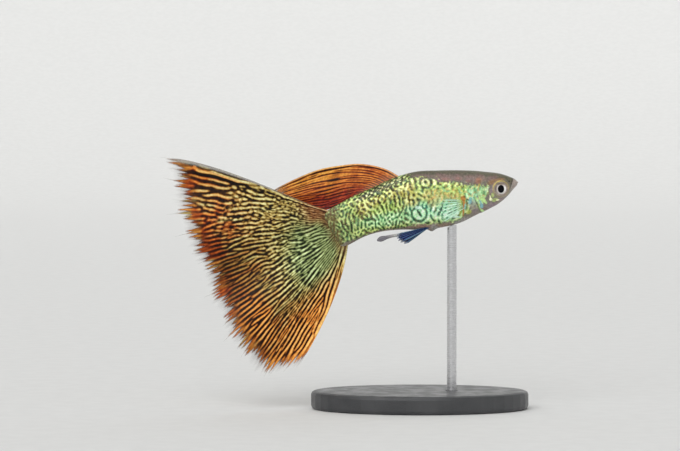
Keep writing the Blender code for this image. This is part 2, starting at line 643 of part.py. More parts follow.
def build_gonopodium(parts, material, torso_room):
    # The male's anal fin: a rod along the belly, with a small flat hood at its tip.
    t = np.linspace(0, len(GONOPODIUM_LINE) - 1, GONOPODIUM_RINGS)
    middle = curve_through(GONOPODIUM_LINE, t)
    ahead = np.gradient(middle, axis=0)
    ahead = ahead / np.linalg.norm(ahead, axis=1)[:, None]
    share = np.linspace(0, 1, len(t))
    hood = hill(share - HOOD_AT, HOOD_SPREAD)
    tall = GONOPODIUM_RADIUS * (1.15 - 0.35 * share) * (1 + 0.9 * hood)
    flat = GONOPODIUM_RADIUS * (1.15 - 0.40 * share) * (1 - 0.15 * hood)
    past = np.clip(share - TIP_CLOSES_AT, 0.0, None) / TIP_CLOSES_OVER
    shrink = np.sqrt(np.clip(1 - past**2, 0.06, 1.0))
    angle = np.linspace(0, 2 * np.pi, GONOPODIUM_SIDES, endpoint=False)
    up = np.stack([-ahead[:, 1], ahead[:, 0]], axis=1)
    up = up * np.sign(up[:, 1:2] + 1e-9)
    rise = (tall * shrink)[:, None] * np.cos(angle)[None, :]
    side = (flat * shrink)[:, None] * np.sin(angle)[None, :]
    x = middle[:, 0:1] + up[:, 0:1] * rise
    z = middle[:, 1:2] + up[:, 1:2] * rise
    made = loft("gonopodium", parts, np.stack([x, side + sway(x), z], axis=-1), material)
    boolean(made, torso_room)


def build_stand(parts, cutters, base_material, rod_material, torso_room):
    bpy.ops.mesh.primitive_cylinder_add(vertices=BASE_SIDES, radius=1.0, depth=BASE_HEIGHT)
    base = bpy.context.object
    base.name = base.data.name = "stand_base"
    stretch = Matrix.Diagonal((BASE_X_RADIUS, BASE_Y_RADIUS, 1.0, 1.0))
    base.data.transform(Matrix.Translation((0.0, 0.0, BASE_HEIGHT / 2)) @ stretch)
    base.data.materials.append(base_material)
    shade_round(base)
    move_to(base, parts)
    edge = base.modifiers.new("rounded edges", "BEVEL")
    edge.width = BASE_BEVEL
    edge.segments = 2
    edge.limit_method = "ANGLE"
    edge.angle_limit = np.radians(BASE_BEVEL_ABOVE)

    floor = BASE_HEIGHT - ROD_SOCKET_DEPTH
    for name, radius, low, high, group in (
        ("stand_rod", ROD_RADIUS, floor + JOINT_GAP, ROD_TOP, parts),
        ("rod socket", ROD_RADIUS + JOINT_GAP, floor, BASE_HEIGHT + SOCKET_OVERSHOOT, cutters),
    ):
        bpy.ops.mesh.primitive_cylinder_add(vertices=ROD_SIDES, radius=radius, depth=high - low)
        made = bpy.context.object
        made.name = made.data.name = name
        made.data.transform(Matrix.Translation((ROD_X, 0.0, (low + high) / 2)))
        move_to(made, group)
    rod = bpy.data.objects["stand_rod"]
    rod.data.materials.append(rod_material)
    shade_round(rod)
    boolean(rod, torso_room)
    boolean(base, bpy.data.objects["rod socket"])


def main():
    clear_scene()
    parts = make_collection("guppy")
    cutters = make_collection("cutters")
    skin = make_material("skin", (0.62, 0.72, 0.42), 0.35)
    eye = make_material("eye", (0.85, 0.86, 0.82), 0.15)
    tail = make_material("tail fin", (0.86, 0.46, 0.12), 0.45)
    dorsal = make_material("dorsal fin", (0.82, 0.34, 0.08), 0.45)
    clear_fin = make_material("clear fins", (0.55, 0.60, 0.66), 0.40)
    base = make_material("stand base", (0.05, 0.05, 0.055), 0.50)
    steel = make_material("stand rod", (0.62, 0.62, 0.64), 0.30, 1.0)

    build_body(parts, cutters, skin)
    build_eyes(parts, eye)
    stretch = (ROOM_START, BODY_END - ROOM_SHORT)
    room = body_loft("room round the body", cutters, stretch, BODY_SIDES, grow=JOINT_GAP)
    build_tail_fin(parts, tail)
    build_dorsal_fin(parts, dorsal, room)
    build_pectoral_fins(parts, clear_fin, room)
    build_pelvic_fins(parts, clear_fin, room)
    build_gonopodium(parts, clear_fin, room)
    build_stand(parts, cutters, base, steel, room)


main()
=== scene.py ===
import bpy
import numpy as np
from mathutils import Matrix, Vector


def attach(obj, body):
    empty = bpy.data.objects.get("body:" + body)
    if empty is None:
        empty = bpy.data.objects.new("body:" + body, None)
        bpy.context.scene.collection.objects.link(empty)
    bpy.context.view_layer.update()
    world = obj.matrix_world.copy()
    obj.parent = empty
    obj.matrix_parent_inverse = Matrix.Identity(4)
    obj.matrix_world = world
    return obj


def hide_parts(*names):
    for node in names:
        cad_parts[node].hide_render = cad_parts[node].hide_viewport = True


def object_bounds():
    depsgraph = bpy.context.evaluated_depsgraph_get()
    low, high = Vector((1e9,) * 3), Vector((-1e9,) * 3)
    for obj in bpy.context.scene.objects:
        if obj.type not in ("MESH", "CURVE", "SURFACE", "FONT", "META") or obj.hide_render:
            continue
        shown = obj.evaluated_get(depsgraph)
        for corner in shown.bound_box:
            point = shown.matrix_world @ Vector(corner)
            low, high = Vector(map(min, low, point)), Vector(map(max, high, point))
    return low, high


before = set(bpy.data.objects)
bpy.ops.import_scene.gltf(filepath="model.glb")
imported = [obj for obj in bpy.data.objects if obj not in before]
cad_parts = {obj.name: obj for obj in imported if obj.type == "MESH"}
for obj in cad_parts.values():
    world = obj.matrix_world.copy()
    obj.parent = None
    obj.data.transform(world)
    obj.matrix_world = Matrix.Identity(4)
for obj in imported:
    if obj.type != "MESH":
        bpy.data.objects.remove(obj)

cadLow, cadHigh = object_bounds()
mm = 0.001


# Curves, soft steps and noise
def unit(x):  # held between 0 and 1
    return np.clip(x, 0, 1)


def hill(distance, spread):  # exp(-(d/s)^2)
    return np.exp(-((distance / spread) ** 2))


def rise(low, high, x):  # the smooth step 3t^2 - 2t^3 between low and high
    t = unit((x - low) / (high - low))
    return t * t * (3 - 2 * t)


def teeth(count, u):  # that many cosine waves from 0 up to 1 and back
    return 0.5 - 0.5 * np.cos(2 * np.pi * count * u)


def lineAt(x, points):  # straight lines from point to point, read at x
    return np.interp(x, *zip(*points))


def circle(count):  # even bearings round a full turn
    return np.linspace(0, 2 * np.pi, count, endpoint=False)


def unitLong(way):  # each vector divided by its length
    return way / np.linalg.norm(way, axis=-1, keepdims=True)


def sheetGrid(across, along, start=0.0, end=1.0):  # u across the rays, v along them
    return np.meshgrid(np.linspace(0, 1, across), np.linspace(start, end, along), indexing="ij")


def curveThrough(points, share):
    # Cubics through all the points, read at a share of the whole way. Between b and c, at f of the
    # way on, it is half of 2b + (c-a)f + (2a-5b+4c-d)f^2 + (3b-a-3c+d)f^3.
    points = np.array(points, float)
    p = np.vstack((2 * points[:1] - points[1:2], points, 2 * points[-1:] - points[-2:-1]))
    t = np.asarray(share, float) * (len(points) - 1)
    row = np.clip(np.floor(t).astype(int), 0, len(points) - 2)
    f = (t - row)[..., None]
    a, b, c, d = (p[row + k] for k in range(4))
    return 0.5 * (2 * b + (c - a) * f + (2 * a - 5 * b + 4 * c - d) * f**2 + (3 * b - a - 3 * c + d) * f**3)


def sway(x):  # the rear's swing to -y: the square of the way back, then straight on
    return -1.1 * (unit((4.0 - x) / 18.0) ** 2 + 2 * np.maximum((-14.0 - x) / 18.0, 0))


def blob(x, z, cx, cz, rx, rz, turn=0.0, strength=1.0):  # a soft ellipse exp(-(r^2)^2), turned by degrees
    c, s = np.cos(np.radians(turn)), np.sin(np.radians(turn))
    across = ((x - cx) * c + (z - cz) * s) / rx
    up = (-(x - cx) * s + (z - cz) * c) / rz
    return strength * np.exp(-((across**2 + up**2) ** 2))


def blobs(x, z, spots):  # the sum of such ellipses, held between 0 and 1
    return unit(sum(blob(x, z, *spot) for spot in spots))


def around(x, z, centre, stretch=1.0):  # the distance from a centre, and the bearing in degrees
    dx, dz = x - centre[0], z - centre[1]
    return np.hypot(dx, dz * stretch), np.degrees(np.arctan2(dz, dx))


def turnHill(bearing, wanted, spread):  # a hill over the smaller angle between two bearings
    return hill((bearing - wanted + 180) % 360 - 180, spread)


def soften(field, width):  # a blur that many cells wide: each frequency f times exp(-2 (pi width f)^2)
    fy, fx = np.fft.fftfreq(field.shape[0])[:, None], np.fft.rfftfreq(field.shape[1])
    low = np.exp(-2 * (np.pi * width) ** 2 * (fx**2 + fy**2))
    return np.fft.irfft2(np.fft.rfft2(field) * low, s=field.shape)


def softNoise(shape, wave, seed):  # blurred white noise with a spread of 1; wave is its size in cells
    field = soften(np.random.default_rng(seed).standard_normal(shape), wave / np.pi / 2**0.5)
    return (field - field.mean()) / field.std()


def readField(field, column, row):  # bilinear reading of a raster at fractional cells
    column = np.clip(column, 0, field.shape[1] - 1.001)
    row = np.clip(row, 0, field.shape[0] - 1.001)
    i, j = row.astype(int), column.astype(int)
    a, b = row - i, column - j
    return ((1 - a) * (1 - b) * field[i, j] + (1 - a) * b * field[i, j + 1]
            + a * (1 - b) * field[i + 1, j] + a * b * field[i + 1, j + 1])


def spreadOver(shape, row, column, values):
    # Scattered values carried over a whole raster: sums of values divided by sums of counts, each
    # blurred, with a wider blur wherever the narrower one found nothing.
    i, j = (np.clip(place.astype(int), 0, size - 1).ravel() for place, size in zip((row, column), shape))
    sums = np.zeros((len(values) + 1, *shape))
    for whole, value in zip(sums, (np.ones(row.shape), *values)):
        np.add.at(whole, (i, j), value.ravel())
    spread, done = np.zeros_like(sums[1:]), np.zeros(shape, bool)
    for width in (1.0, 3.0, 9.0, 30.0, 90.0):
        count, *near = (soften(whole, width) for whole in sums)
        found = (count > 1e-3) & ~done
        for field, blurred in zip(spread, near):
            field[found] = blurred[found] / count[found]
        done |= found
    return spread


def growLace(direction, wave, order, bias, seed, steps, gain, band, fan, even=0):
    # Lace lines of a given spacing: u becomes tanh(gain * u / spread + bias) again and again, where
    # u is first filtered. The filter keeps a ring of frequencies, 1 / wave wide of the centre, and
    # where order is high only the part of it that runs across the wanted direction. The spread is
    # the root mean square of u, over the whole raster or, if even is given, over that many cells.
    shape, turns = direction.shape, 10
    fy, fx = np.fft.fftfreq(shape[0])[:, None], np.fft.rfftfreq(shape[1])
    radius, bearing = np.hypot(fx, fy), np.arctan2(fy, fx)
    sizes = np.linspace(wave.min(), wave.max(), 3)
    apart, turn = max(sizes[1] - sizes[0], 1e-6), np.pi / turns
    filters = []
    for size in sizes:
        share = unit(1 - np.abs(wave - size) / apart)
        ring = hill(radius * size - 1, band)
        filters.append((ring, share * (1 - order)))
        for k in range(turns):
            lobe = np.exp(-np.sin(bearing - k * turn - np.pi / 2) ** 2 / (2 * fan**2))
            away = np.abs((direction - k * turn + np.pi / 2) % np.pi - np.pi / 2)
            filters.append((ring * lobe, share * order * unit(1 - away / turn)))
    u = np.random.default_rng(seed).standard_normal(shape)
    for step in range(steps):
        whole = np.fft.rfft2(u)
        u = sum(np.fft.irfft2(whole * kept, s=shape) * share for kept, share in filters)
        power = soften(u**2, even) if even else (u**2).mean()
        u = np.tanh(gain * u / np.sqrt(np.maximum(power, 1e-9)) + bias)
    return u


# Meshes from grids
def gridFaces(rows, columns, closed=False):  # quads between neighbours, round the ring if closed
    index = np.arange(rows * columns).reshape(rows, columns)
    if closed:
        index = np.hstack([index, index[:, :1]])
    return np.stack([index[:-1, :-1], index[:-1, 1:], index[1:, 1:], index[1:, :-1]], axis=-1).reshape(-1, 4)


def addObject(name, data):
    made = bpy.data.objects.new(name, data)
    bpy.context.scene.collection.objects.link(made)
    return made


def makePiece(name, points, faces, material, replaces, values, uv=None):
    # points is n x 3 in millimetres, faces a list of arrays of faces with equally many corners. All
    # are turned to point outwards: the sum of a.(b x c) over their triangles has to be positive.
    volume = 0.0
    for block in faces:
        for k in range(1, block.shape[1] - 1):
            a, b, c = (points[block[:, corner]] for corner in (0, k, k + 1))
            volume += (a * np.cross(b, c)).sum()
    if volume < 0:
        faces = [block[:, ::-1] for block in faces]
    mesh = bpy.data.meshes.new(name)
    mesh.from_pydata(points * mm, [], [face for block in faces for face in block.tolist()])
    for label, field in values.items():
        layer = mesh.attributes.new(label, "FLOAT", "POINT")
        layer.data.foreach_set("value", np.ascontiguousarray(field, dtype=np.float32).ravel())
    if uv is not None:
        corner = np.empty(len(mesh.loops), np.int32)
        mesh.loops.foreach_get("vertex_index", corner)
        layer = mesh.uv_layers.new(name="alongRays")
        layer.data.foreach_set("uv", uv[corner].astype(np.float32).ravel())
    mesh.shade_smooth()
    mesh.materials.append(material)
    piece = addObject(name, mesh)
    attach(piece, "root")
    if replaces:
        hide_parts(*replaces)
    triangles = sum(len(block) * (block.shape[1] - 2) for block in faces)
    print(f"{name}: {len(points)} points, {triangles} triangles")


def makeTube(name, rings, material, replaces, values):  # rings x sides x 3, ends closed
    count, sides = rings.shape[:2]
    points = np.vstack([rings.reshape(-1, 3), rings[0].mean(0), rings[-1].mean(0)])
    side = np.arange(sides)
    after = (side + 1) % sides
    last = (count - 1) * sides
    first = np.stack([np.full(sides, count * sides), after, side], axis=1)
    final = np.stack([np.full(sides, count * sides + 1), last + side, last + after], axis=1)
    values = {label: np.append(field.ravel(), [field[0].mean(), field[-1].mean()])
              for label, field in values.items()}
    makePiece(name, points, [gridFaces(count, sides, True), first, final], material, replaces, values)


def thinning(size, v, power, rays, fades):
    # Half a sheet's thickness: from root to tip as (1 - v)^power, and ridges along the rays that
    # go down from where they fade to the edge.
    root, tip = size["half"]
    return tip + (root - tip) * unit(1 - v) ** power + size["rayHeight"] * rays * rise(1.0, fades, v)


def makeSheet(name, middle, half, u, v, material, values):
    # A thin sheet: the middle grid moved both ways along its normal by half, rims joined. It
    # replaces the solid of its own name.
    normal = np.cross(np.gradient(middle, axis=0), np.gradient(middle, axis=1))
    normal /= np.linalg.norm(normal, axis=-1, keepdims=True) + 1e-9
    normal *= np.sign(normal[..., 1:2].mean() + 1e-9) * half[..., None]
    points = np.vstack([(middle - normal).reshape(-1, 3), (middle + normal).reshape(-1, 3)])
    count, front = u.size, gridFaces(*u.shape)
    index = np.arange(count).reshape(u.shape)
    rim = np.concatenate([index[0, :-1], index[:-1, -1], index[-1, :0:-1], index[:0:-1, 0]])
    after = np.roll(rim, -1)
    edge = np.stack([after, rim, rim + count, after + count], axis=1)
    values = {label: np.tile(field.ravel(), 2) for label, field in values.items()}
    uv = np.tile(np.stack([u, v], axis=-1).reshape(-1, 2), (2, 1))
    makePiece(name, points, [front, front[:, ::-1] + count, edge], material, (name,), values, uv)


# Node helpers
def newMaterial(name, roughness=0.4, coat=0.0, specular=0.5, metallic=0.0):
    material = bpy.data.materials.new(name)
    material.use_nodes = True
    shader = material.node_tree.nodes["Principled BSDF"]
    for label, value in (("Roughness", roughness), ("Coat Weight", coat), ("Coat Roughness", 0.12),
                         ("Specular IOR Level", specular), ("Metallic", metallic)):
        shader.inputs[label].default_value = value
    return material, material.node_tree, shader


def opaque(colour):  # thousandths to shares, with full alpha
    return (*(part / 1000 for part in colour), 1.0)


def feed(tree, inputs, values):  # a socket, a colour or a number goes into each input
    for label, value in values.items():
        if isinstance(value, bpy.types.NodeSocket):
            tree.links.new(value, inputs[label])
        else:
            inputs[label].default_value = opaque(value) if inputs[label].type == "RGBA" else value


def addNode(tree, kind, values, **settings):
    made = tree.nodes.new("ShaderNode" + kind)
    for label, value in settings.items():
        setattr(made, label, value)
    feed(tree, made.inputs, values)
    return made


def calc(tree, operation, first, second):
    return addNode(tree, "Math", {0: first, 1: second}, operation=operation).outputs[0]


def times(tree, first, second):
    return calc(tree, "MULTIPLY", first, second)


def mask(tree, name, strength=None):  # a piece's own values, by name
    value = addNode(tree, "Attribute", {}, attribute_name=name).outputs["Fac"]
    return value if strength is None else times(tree, value, strength)


def blend(tree, factor, first, second, mode="MIX"):
    values = {0: factor, 6: first, 7: second}
    return addNode(tree, "Mix", values, data_type="RGBA", blend_type=mode).outputs[2]


def remap(tree, value, low, high, newLow=0.0, newHigh=1.0):
    values = dict(enumerate((value, low, high, newLow, newHigh)))
    return addNode(tree, "MapRange", values, interpolation_type="SMOOTHSTEP").outputs[0]


def colourRamp(tree, value, colours):  # colours at even steps from 0 to 1
    made = addNode(tree, "ValToRGB", {0: value})
    elements = made.color_ramp.elements
    for k, colour in enumerate(colours):
        place = k / (len(colours) - 1)
        element = elements[k] if k < 2 else elements.new(place)
        element.position, element.color = place, opaque(colour)
    return made.outputs[0]


def paint(tree, start, layers):  # each layer is (the name of its mask, its strength, its colour)
    for name, strength, colour in layers:
        start = blend(tree, mask(tree, name, strength), start, colour)
    return start


def toned(tree, value, layers):  # ramps over one value: each but the first has a mask and its strength
    colour = colourRamp(tree, value, layers[0])
    for name, strength, *colours in layers[1:]:
        colour = blend(tree, mask(tree, name, strength), colour, colourRamp(tree, value, colours))
    return colour


def objectPlace(tree):
    return tree.nodes.new("ShaderNodeTexCoord").outputs["Object"]


def noise(tree, scale, detail, vector=None):
    values = {"Detail": detail, "Scale": scale, "Vector": vector or objectPlace(tree)}
    return addNode(tree, "TexNoise", values).outputs["Fac"]


def newGroup(name, colours, values, results):  # its colour inputs, its number inputs, its outputs
    group = bpy.data.node_groups.new(name, "ShaderNodeTree")
    for label in (*colours, *values):
        kind = "NodeSocketFloat" if label in values else "NodeSocketColor"
        made = group.interface.new_socket(name=label, in_out="INPUT", socket_type=kind)
        if label in values:
            made.default_value = values[label]
    for label, kind in results.items():
        group.interface.new_socket(name=label, in_out="OUTPUT", socket_type="NodeSocket" + kind)
    return group, group.nodes.new("NodeGroupInput").outputs, group.nodes.new("NodeGroupOutput").inputs


def makeMottle():
    # Fine mottling that every finish here has: noise, remapped to shades that the colour is
    # multiplied by, with the noise as a height for bumps.
    group, entry, result = newGroup("fineMottle", ("Colour",), {"Scale": 4000.0, "Amount": 0.2},
                                    {"Colour": "Color", "Height": "Float"})
    grain = noise(group, entry["Scale"], 3.0)
    half = times(group, entry["Amount"], 0.5)
    shade = remap(group, grain, 0.3, 0.7, calc(group, "SUBTRACT", 1.0, half), calc(group, "ADD", 1.0, half))
    grey = addNode(group, "CombineColor", {0: shade, 1: shade, 2: shade}).outputs[0]
    feed(group, result, {"Colour": blend(group, 1.0, entry["Colour"], grey, "MULTIPLY"), "Height": grain})
    return group


def makePepper():
    # Tiny dark pigment cells, scattered as a fish's skin and fins have them: the middles of a
    # pattern of cells, where a wider noise lets them through.
    group, entry, result = newGroup("pigmentCells", ("Colour", "Cell"), {"Scale": 6000.0, "Amount": 0.5},
                                    {"Colour": "Color"})
    cells = addNode(group, "TexVoronoi", {"Vector": objectPlace(group), "Scale": entry["Scale"]})
    dots = remap(group, cells.outputs["Distance"], 0.34, 0.16)
    patchy = remap(group, noise(group, times(group, entry["Scale"], 0.22), 2.0), 0.35, 0.65)
    amount = times(group, times(group, dots, patchy), entry["Amount"])
    feed(group, result, {"Colour": blend(group, amount, entry["Colour"], entry["Cell"])})
    return group


mottle, pepper = makeMottle(), makePepper()


def grained(tree, colour, scale, amount, cell=None, cellScale=7000.0, cellAmount=0.3):
    # A colour times the mottling, then peppered where a cell's colour is given; the mottling's
    # height comes with it.
    fine = addNode(tree, "Group", {}, node_tree=mottle)
    feed(tree, fine.inputs, {"Colour": colour, "Scale": scale, "Amount": amount})
    if cell is None:
        return fine.outputs["Colour"], fine.outputs["Height"]
    dots = addNode(tree, "Group", {}, node_tree=pepper)
    values = {"Colour": fine.outputs["Colour"], "Cell": cell, "Scale": cellScale, "Amount": cellAmount}
    feed(tree, dots.inputs, values)
    return dots.outputs["Colour"], fine.outputs["Height"]


def addBumps(tree, shader, height, distance):
    bumps = addNode(tree, "Bump", {"Distance": distance, "Height": height})
    feed(tree, shader.inputs, {"Normal": bumps.outputs["Normal"]})


print("tools ready")


# The skin, from the lips to the tail root
bodyStations = (
    # back x, back z, belly x, belly z, half-width, widest, squareness above
    (16.03, 37.62, 16.12, 37.34, 0.36, 0.50, 2.0),
    (15.74, 37.95, 15.98, 36.98, 0.84, 0.50, 2.2),
    (15.10, 38.27, 15.45, 36.36, 1.22, 0.52, 2.4),
    (14.05, 38.68, 14.36, 35.10, 1.74, 0.56, 2.6),
    (12.70, 39.02, 12.95, 33.92, 2.10, 0.58, 2.6),
    (11.05, 39.20, 11.30, 33.02, 2.38, 0.58, 2.5),
    (9.08, 39.38, 9.16, 32.00, 2.56, 0.57, 2.3),
    (6.27, 39.46, 6.44, 30.72, 2.62, 0.56, 2.1),
    (2.97, 39.42, 2.97, 29.92, 2.56, 0.55, 2.0),
    (-0.66, 39.24, -0.17, 29.66, 2.34, 0.54, 2.0),
    (-4.29, 38.22, -3.14, 29.66, 2.00, 0.53, 2.0),
    (-8.09, 36.50, -6.11, 29.38, 1.60, 0.52, 2.0),
    (-11.55, 34.92, -8.91, 28.62, 1.22, 0.51, 2.0),
    (-14.93, 33.05, -11.63, 27.25, 0.80, 0.50, 2.0),
)
lastStation = len(bodyStations) - 1.0
body = {
    "ringsBetween": (26, 26, 26, 24, 24, 26, 26, 30, 33, 36, 36, 36, 34), "snoutRings": 7, "capRings": 14,
    "sides": 222, "bellySquareness": 2.1, "snoutLength": 0.13, "snoutShrink": 0.97,
    "capLength": 1.5, "capThinning": 0.985, "capTaper": 0.05,
    "mouthFront": (15.34, 38.14), "mouthCorner": (14.78, 36.55), "slitEnd": 0.10,
    "nostrilCentre": (14.62, 37.62), "eyeCentre": (13.28, 36.42), "eyeHollow": 0.52,
    "hollowEdge": (1.06, 0.84), "grooveBearing": (225, 60),
    "gillX": 10.15, "gillStep": 0.07, "gillTop": (38.3, 37.0), "throatRibs": (10.9, 33.5, 1.3, 0.6, 30, 0.03),
    "scaleAlong": 0.98, "scaleAcross": 1.10, "scaleHeight": 0.035,
    "laceCell": 0.08, "laceReach": 13.2, "laceWave": 0.66, "laceSeed": 21, "laceBroken": 0.36,
    # reliefs: how high, at what distance the crest is, how wide
    "lips": (0.11, 0, 0.24), "slit": (0.20, 0, 0.055), "rim": (0.10, 1.22, 0.20),
    "groove": (0.09, 2.25, 0.22), "nostril": (0.16, 0, 0.12), "nostrilEdge": (0.05, 0.22, 0.09),
    "gillBow": (1.15, 35.10, 1.75), "cover": (0.18, 0, 1.1), "shoulder": (0.10, 0, 0.66),
    "vent": (0.42, 2.0, 0.60),
    # ring marks: x, z, radius, bearing of the opening, and where the inner comma's tail lies
    "rings": ((-0.20, 32.35, 1.25, 80, 0.24, -0.28), (0.85, 37.50, 0.90, 200, 0.0, 0.0),
              (-8.9, 32.0, 0.75, 120, 0.1, -0.2)),
    "faint": ((4.6, 35.2, 3.8, 2.0), (9.6, 35.4, 2.0, 2.2)),
    # where the plain back ends above the lace and the plain belly below it, z along x
    "laceTop": ((-16, 42), (-4.5, 41), (-2.6, 39.0), (-1.5, 38.3), (2.0, 38.2), (3.3, 37.6), (5.8, 37.5),
                (7.4, 37.1), (9.6, 37.0), (11.1, 37.0)),
    "laceLow": ((-16, 25.2), (-12.4, 27.55), (-9.5, 28.6), (-6.6, 29.6), (-2.8, 30.1), (0, 30.6), (3.3, 30.8),
                (5.8, 31.0), (6.9, 31.7), (8.25, 33.0), (9.5, 33.4), (11.1, 35.6)),
    "laceFront": 11.25,
    # where the back darkens and the belly pales, z along x, and the stem's end, x along z
    "backLine": ((-15, -5.5), (-4, -1.2), (0, 0), (12, 0), (16, -1.2)),
    "bellyLine": ((-15, 24.0), (-9, 27.4), (-4, 29.6), (3, 30.0), (9, 32), (13, 34), (16, 36.6)),
    "ridgeLine": ((-15, 33.1), (-4, 38.3), (-0.6, 39.25), (3, 39.42), (6, 39.46), (9, 39.38), (12.7, 39.02),
                  (15, 38.3), (16, 37.7)),
    "stemEnd": ((27.5, -12.5), (29.9, -13.6), (32.1, -13.4), (33.7, -13.9)),
}


def bodySurface(t, angle):
    # Superellipse sections: up = rise * cos^(2/n), y = width * sin^(2/n). Ahead of the first one
    # the section shrinks as a quarter circle; behind the last it slides on and thins to an edge.
    t, angle = np.broadcast_arrays(np.asarray(t, float), np.asarray(angle, float))
    snout, past = unit(-t), unit(t - lastStation)
    value = curveThrough(bodyStations, unit(t / lastStation))
    width, widest, square = (value[..., k] for k in (4, 5, 6))
    line = value[..., 0:2] - value[..., 2:4]
    height = np.linalg.norm(line, axis=-1)
    upX, upZ = line[..., 0] / height, line[..., 1] / height
    c, s = np.cos(angle), np.sin(angle)
    top = np.where(c > 0, 1 - widest, widest) * height
    power = 2.0 / np.where(c > 0, square, body["bellySquareness"])
    small = np.sqrt(1 - (snout * body["snoutShrink"]) ** 2)
    slim = np.sqrt(1 - (past * body["capThinning"]) ** 2)
    q = top * np.sign(c) * np.abs(c) ** power * small * (1 - body["capTaper"] * past**2)
    y = width * np.sign(s) * np.abs(s) ** power * small * slim
    slide = snout * body["snoutLength"] - past * body["capLength"]
    x = value[..., 2] + line[..., 0] * widest + upX * q + upZ * slide
    z = value[..., 3] + line[..., 1] * widest + upZ * q - upX * slide
    qOut = np.sign(c) * np.abs(c) ** (2 - power) / np.maximum(top, 0.1)
    yOut = np.sign(s) * np.abs(s) ** (2 - power) / np.maximum(width, 0.1)
    outward = np.stack([upX * qOut, yOut, upZ * qOut], axis=-1) / (np.hypot(qOut, yOut)[..., None] + 1e-9)
    return np.stack([x, y, z], axis=-1), outward


def relief(part, away):  # a hill of the part's height, crest and width
    height, crest, width = body[part]
    return height * hill(away - crest, width)


def alongMouth(x, z):  # the distance across the mouth's line, and the distance past its ends
    front, corner = np.array(body["mouthFront"]), np.array(body["mouthCorner"])
    half = np.linalg.norm(corner - front) / 2
    line = (corner - front) / (2 * half)
    dx, dz = x - front[0], z - front[1]
    way, across = dx * line[0] + dz * line[1], dx * line[1] - dz * line[0]
    return across, np.maximum(np.abs(way - half) - half, 0)


def gillAhead(x, z):  # how far ahead of the gill cover's bowed rear edge
    return x - body["gillX"] + relief("gillBow", z)


def headRelief(x, z):
    # Hills of the distance from each feature: lips less their slit, the eye's rim less its groove
    # and hollow, the nostril, the gill cover's step down to the shoulder, and ribs on the throat.
    across, beside = alongMouth(x, z)
    mouth = relief("lips", across) * hill(beside, body["lips"][2])
    mouth = mouth - relief("slit", across) * hill(beside, body["slitEnd"])
    away, bearing = around(x, z, body["eyeCentre"])
    wanted, spread = body["grooveBearing"]
    socket = relief("rim", away) - body["eyeHollow"] * rise(*body["hollowEdge"], away)
    socket = socket - relief("groove", away) * hill(bearing % 360 - wanted, spread)
    away = around(x, z, body["nostrilCentre"])[0]
    nostril = relief("nostril", away) - relief("nostrilEdge", away)
    ahead = gillAhead(x, z)
    over = rise(-body["gillStep"], body["gillStep"], ahead)
    gill = relief("cover", ahead) * over - relief("shoulder", ahead) * (1 - over)
    gill = gill * rise(*body["gillTop"], z)
    ribs = np.sin((x * 0.75 + z * 0.66) * 9.0) * blob(x, z, *body["throatRibs"])
    return mouth + socket - nostril + gill + ribs


def scaleRelief(along, girth):
    # Overlapping scales on a staggered grid: each is a disc, tilted to stand proud at its rear
    # edge, and the highest of the discs that cover a point is the surface. Each has a shade.
    pitch, across = body["scaleAlong"], body["scaleAcross"]
    height, shade = np.zeros((2, *girth.shape))
    for shift in (0.0, 0.5):
        for step in (-1, 0, 1):
            column = np.round(along / pitch - shift) + step
            row = np.round(girth / across - shift)
            a = along - (column + shift) * pitch
            b = girth - (row + shift) * across
            tilt = rise(0.78, 0.68, np.hypot(a / 1.05, b * 1.12)) * (0.5 + 0.55 * a / pitch)
            hue = np.sin(column * 12.9898 + row * 78.233 + shift * 37.7) * 43758.5453
            better = tilt > height
            height[better], shade[better] = tilt[better], (hue - np.floor(hue))[better]
    return height, shade


def measureBody(places):  # distance along the middle line, and round it from the back, right side negative
    along = np.append(0, np.cumsum(np.linalg.norm(np.diff(places.mean(axis=1), axis=0), axis=1)))
    step = np.linalg.norm(np.roll(places, -1, axis=1) - places, axis=-1)
    girth = np.cumsum(np.hstack([np.zeros((len(places), 1)), step]), axis=1)
    whole, girth = girth[:, -1:], girth[:, :-1]
    return np.broadcast_to(along[:, None], girth.shape), np.where(girth > whole / 2, girth - whole, girth)


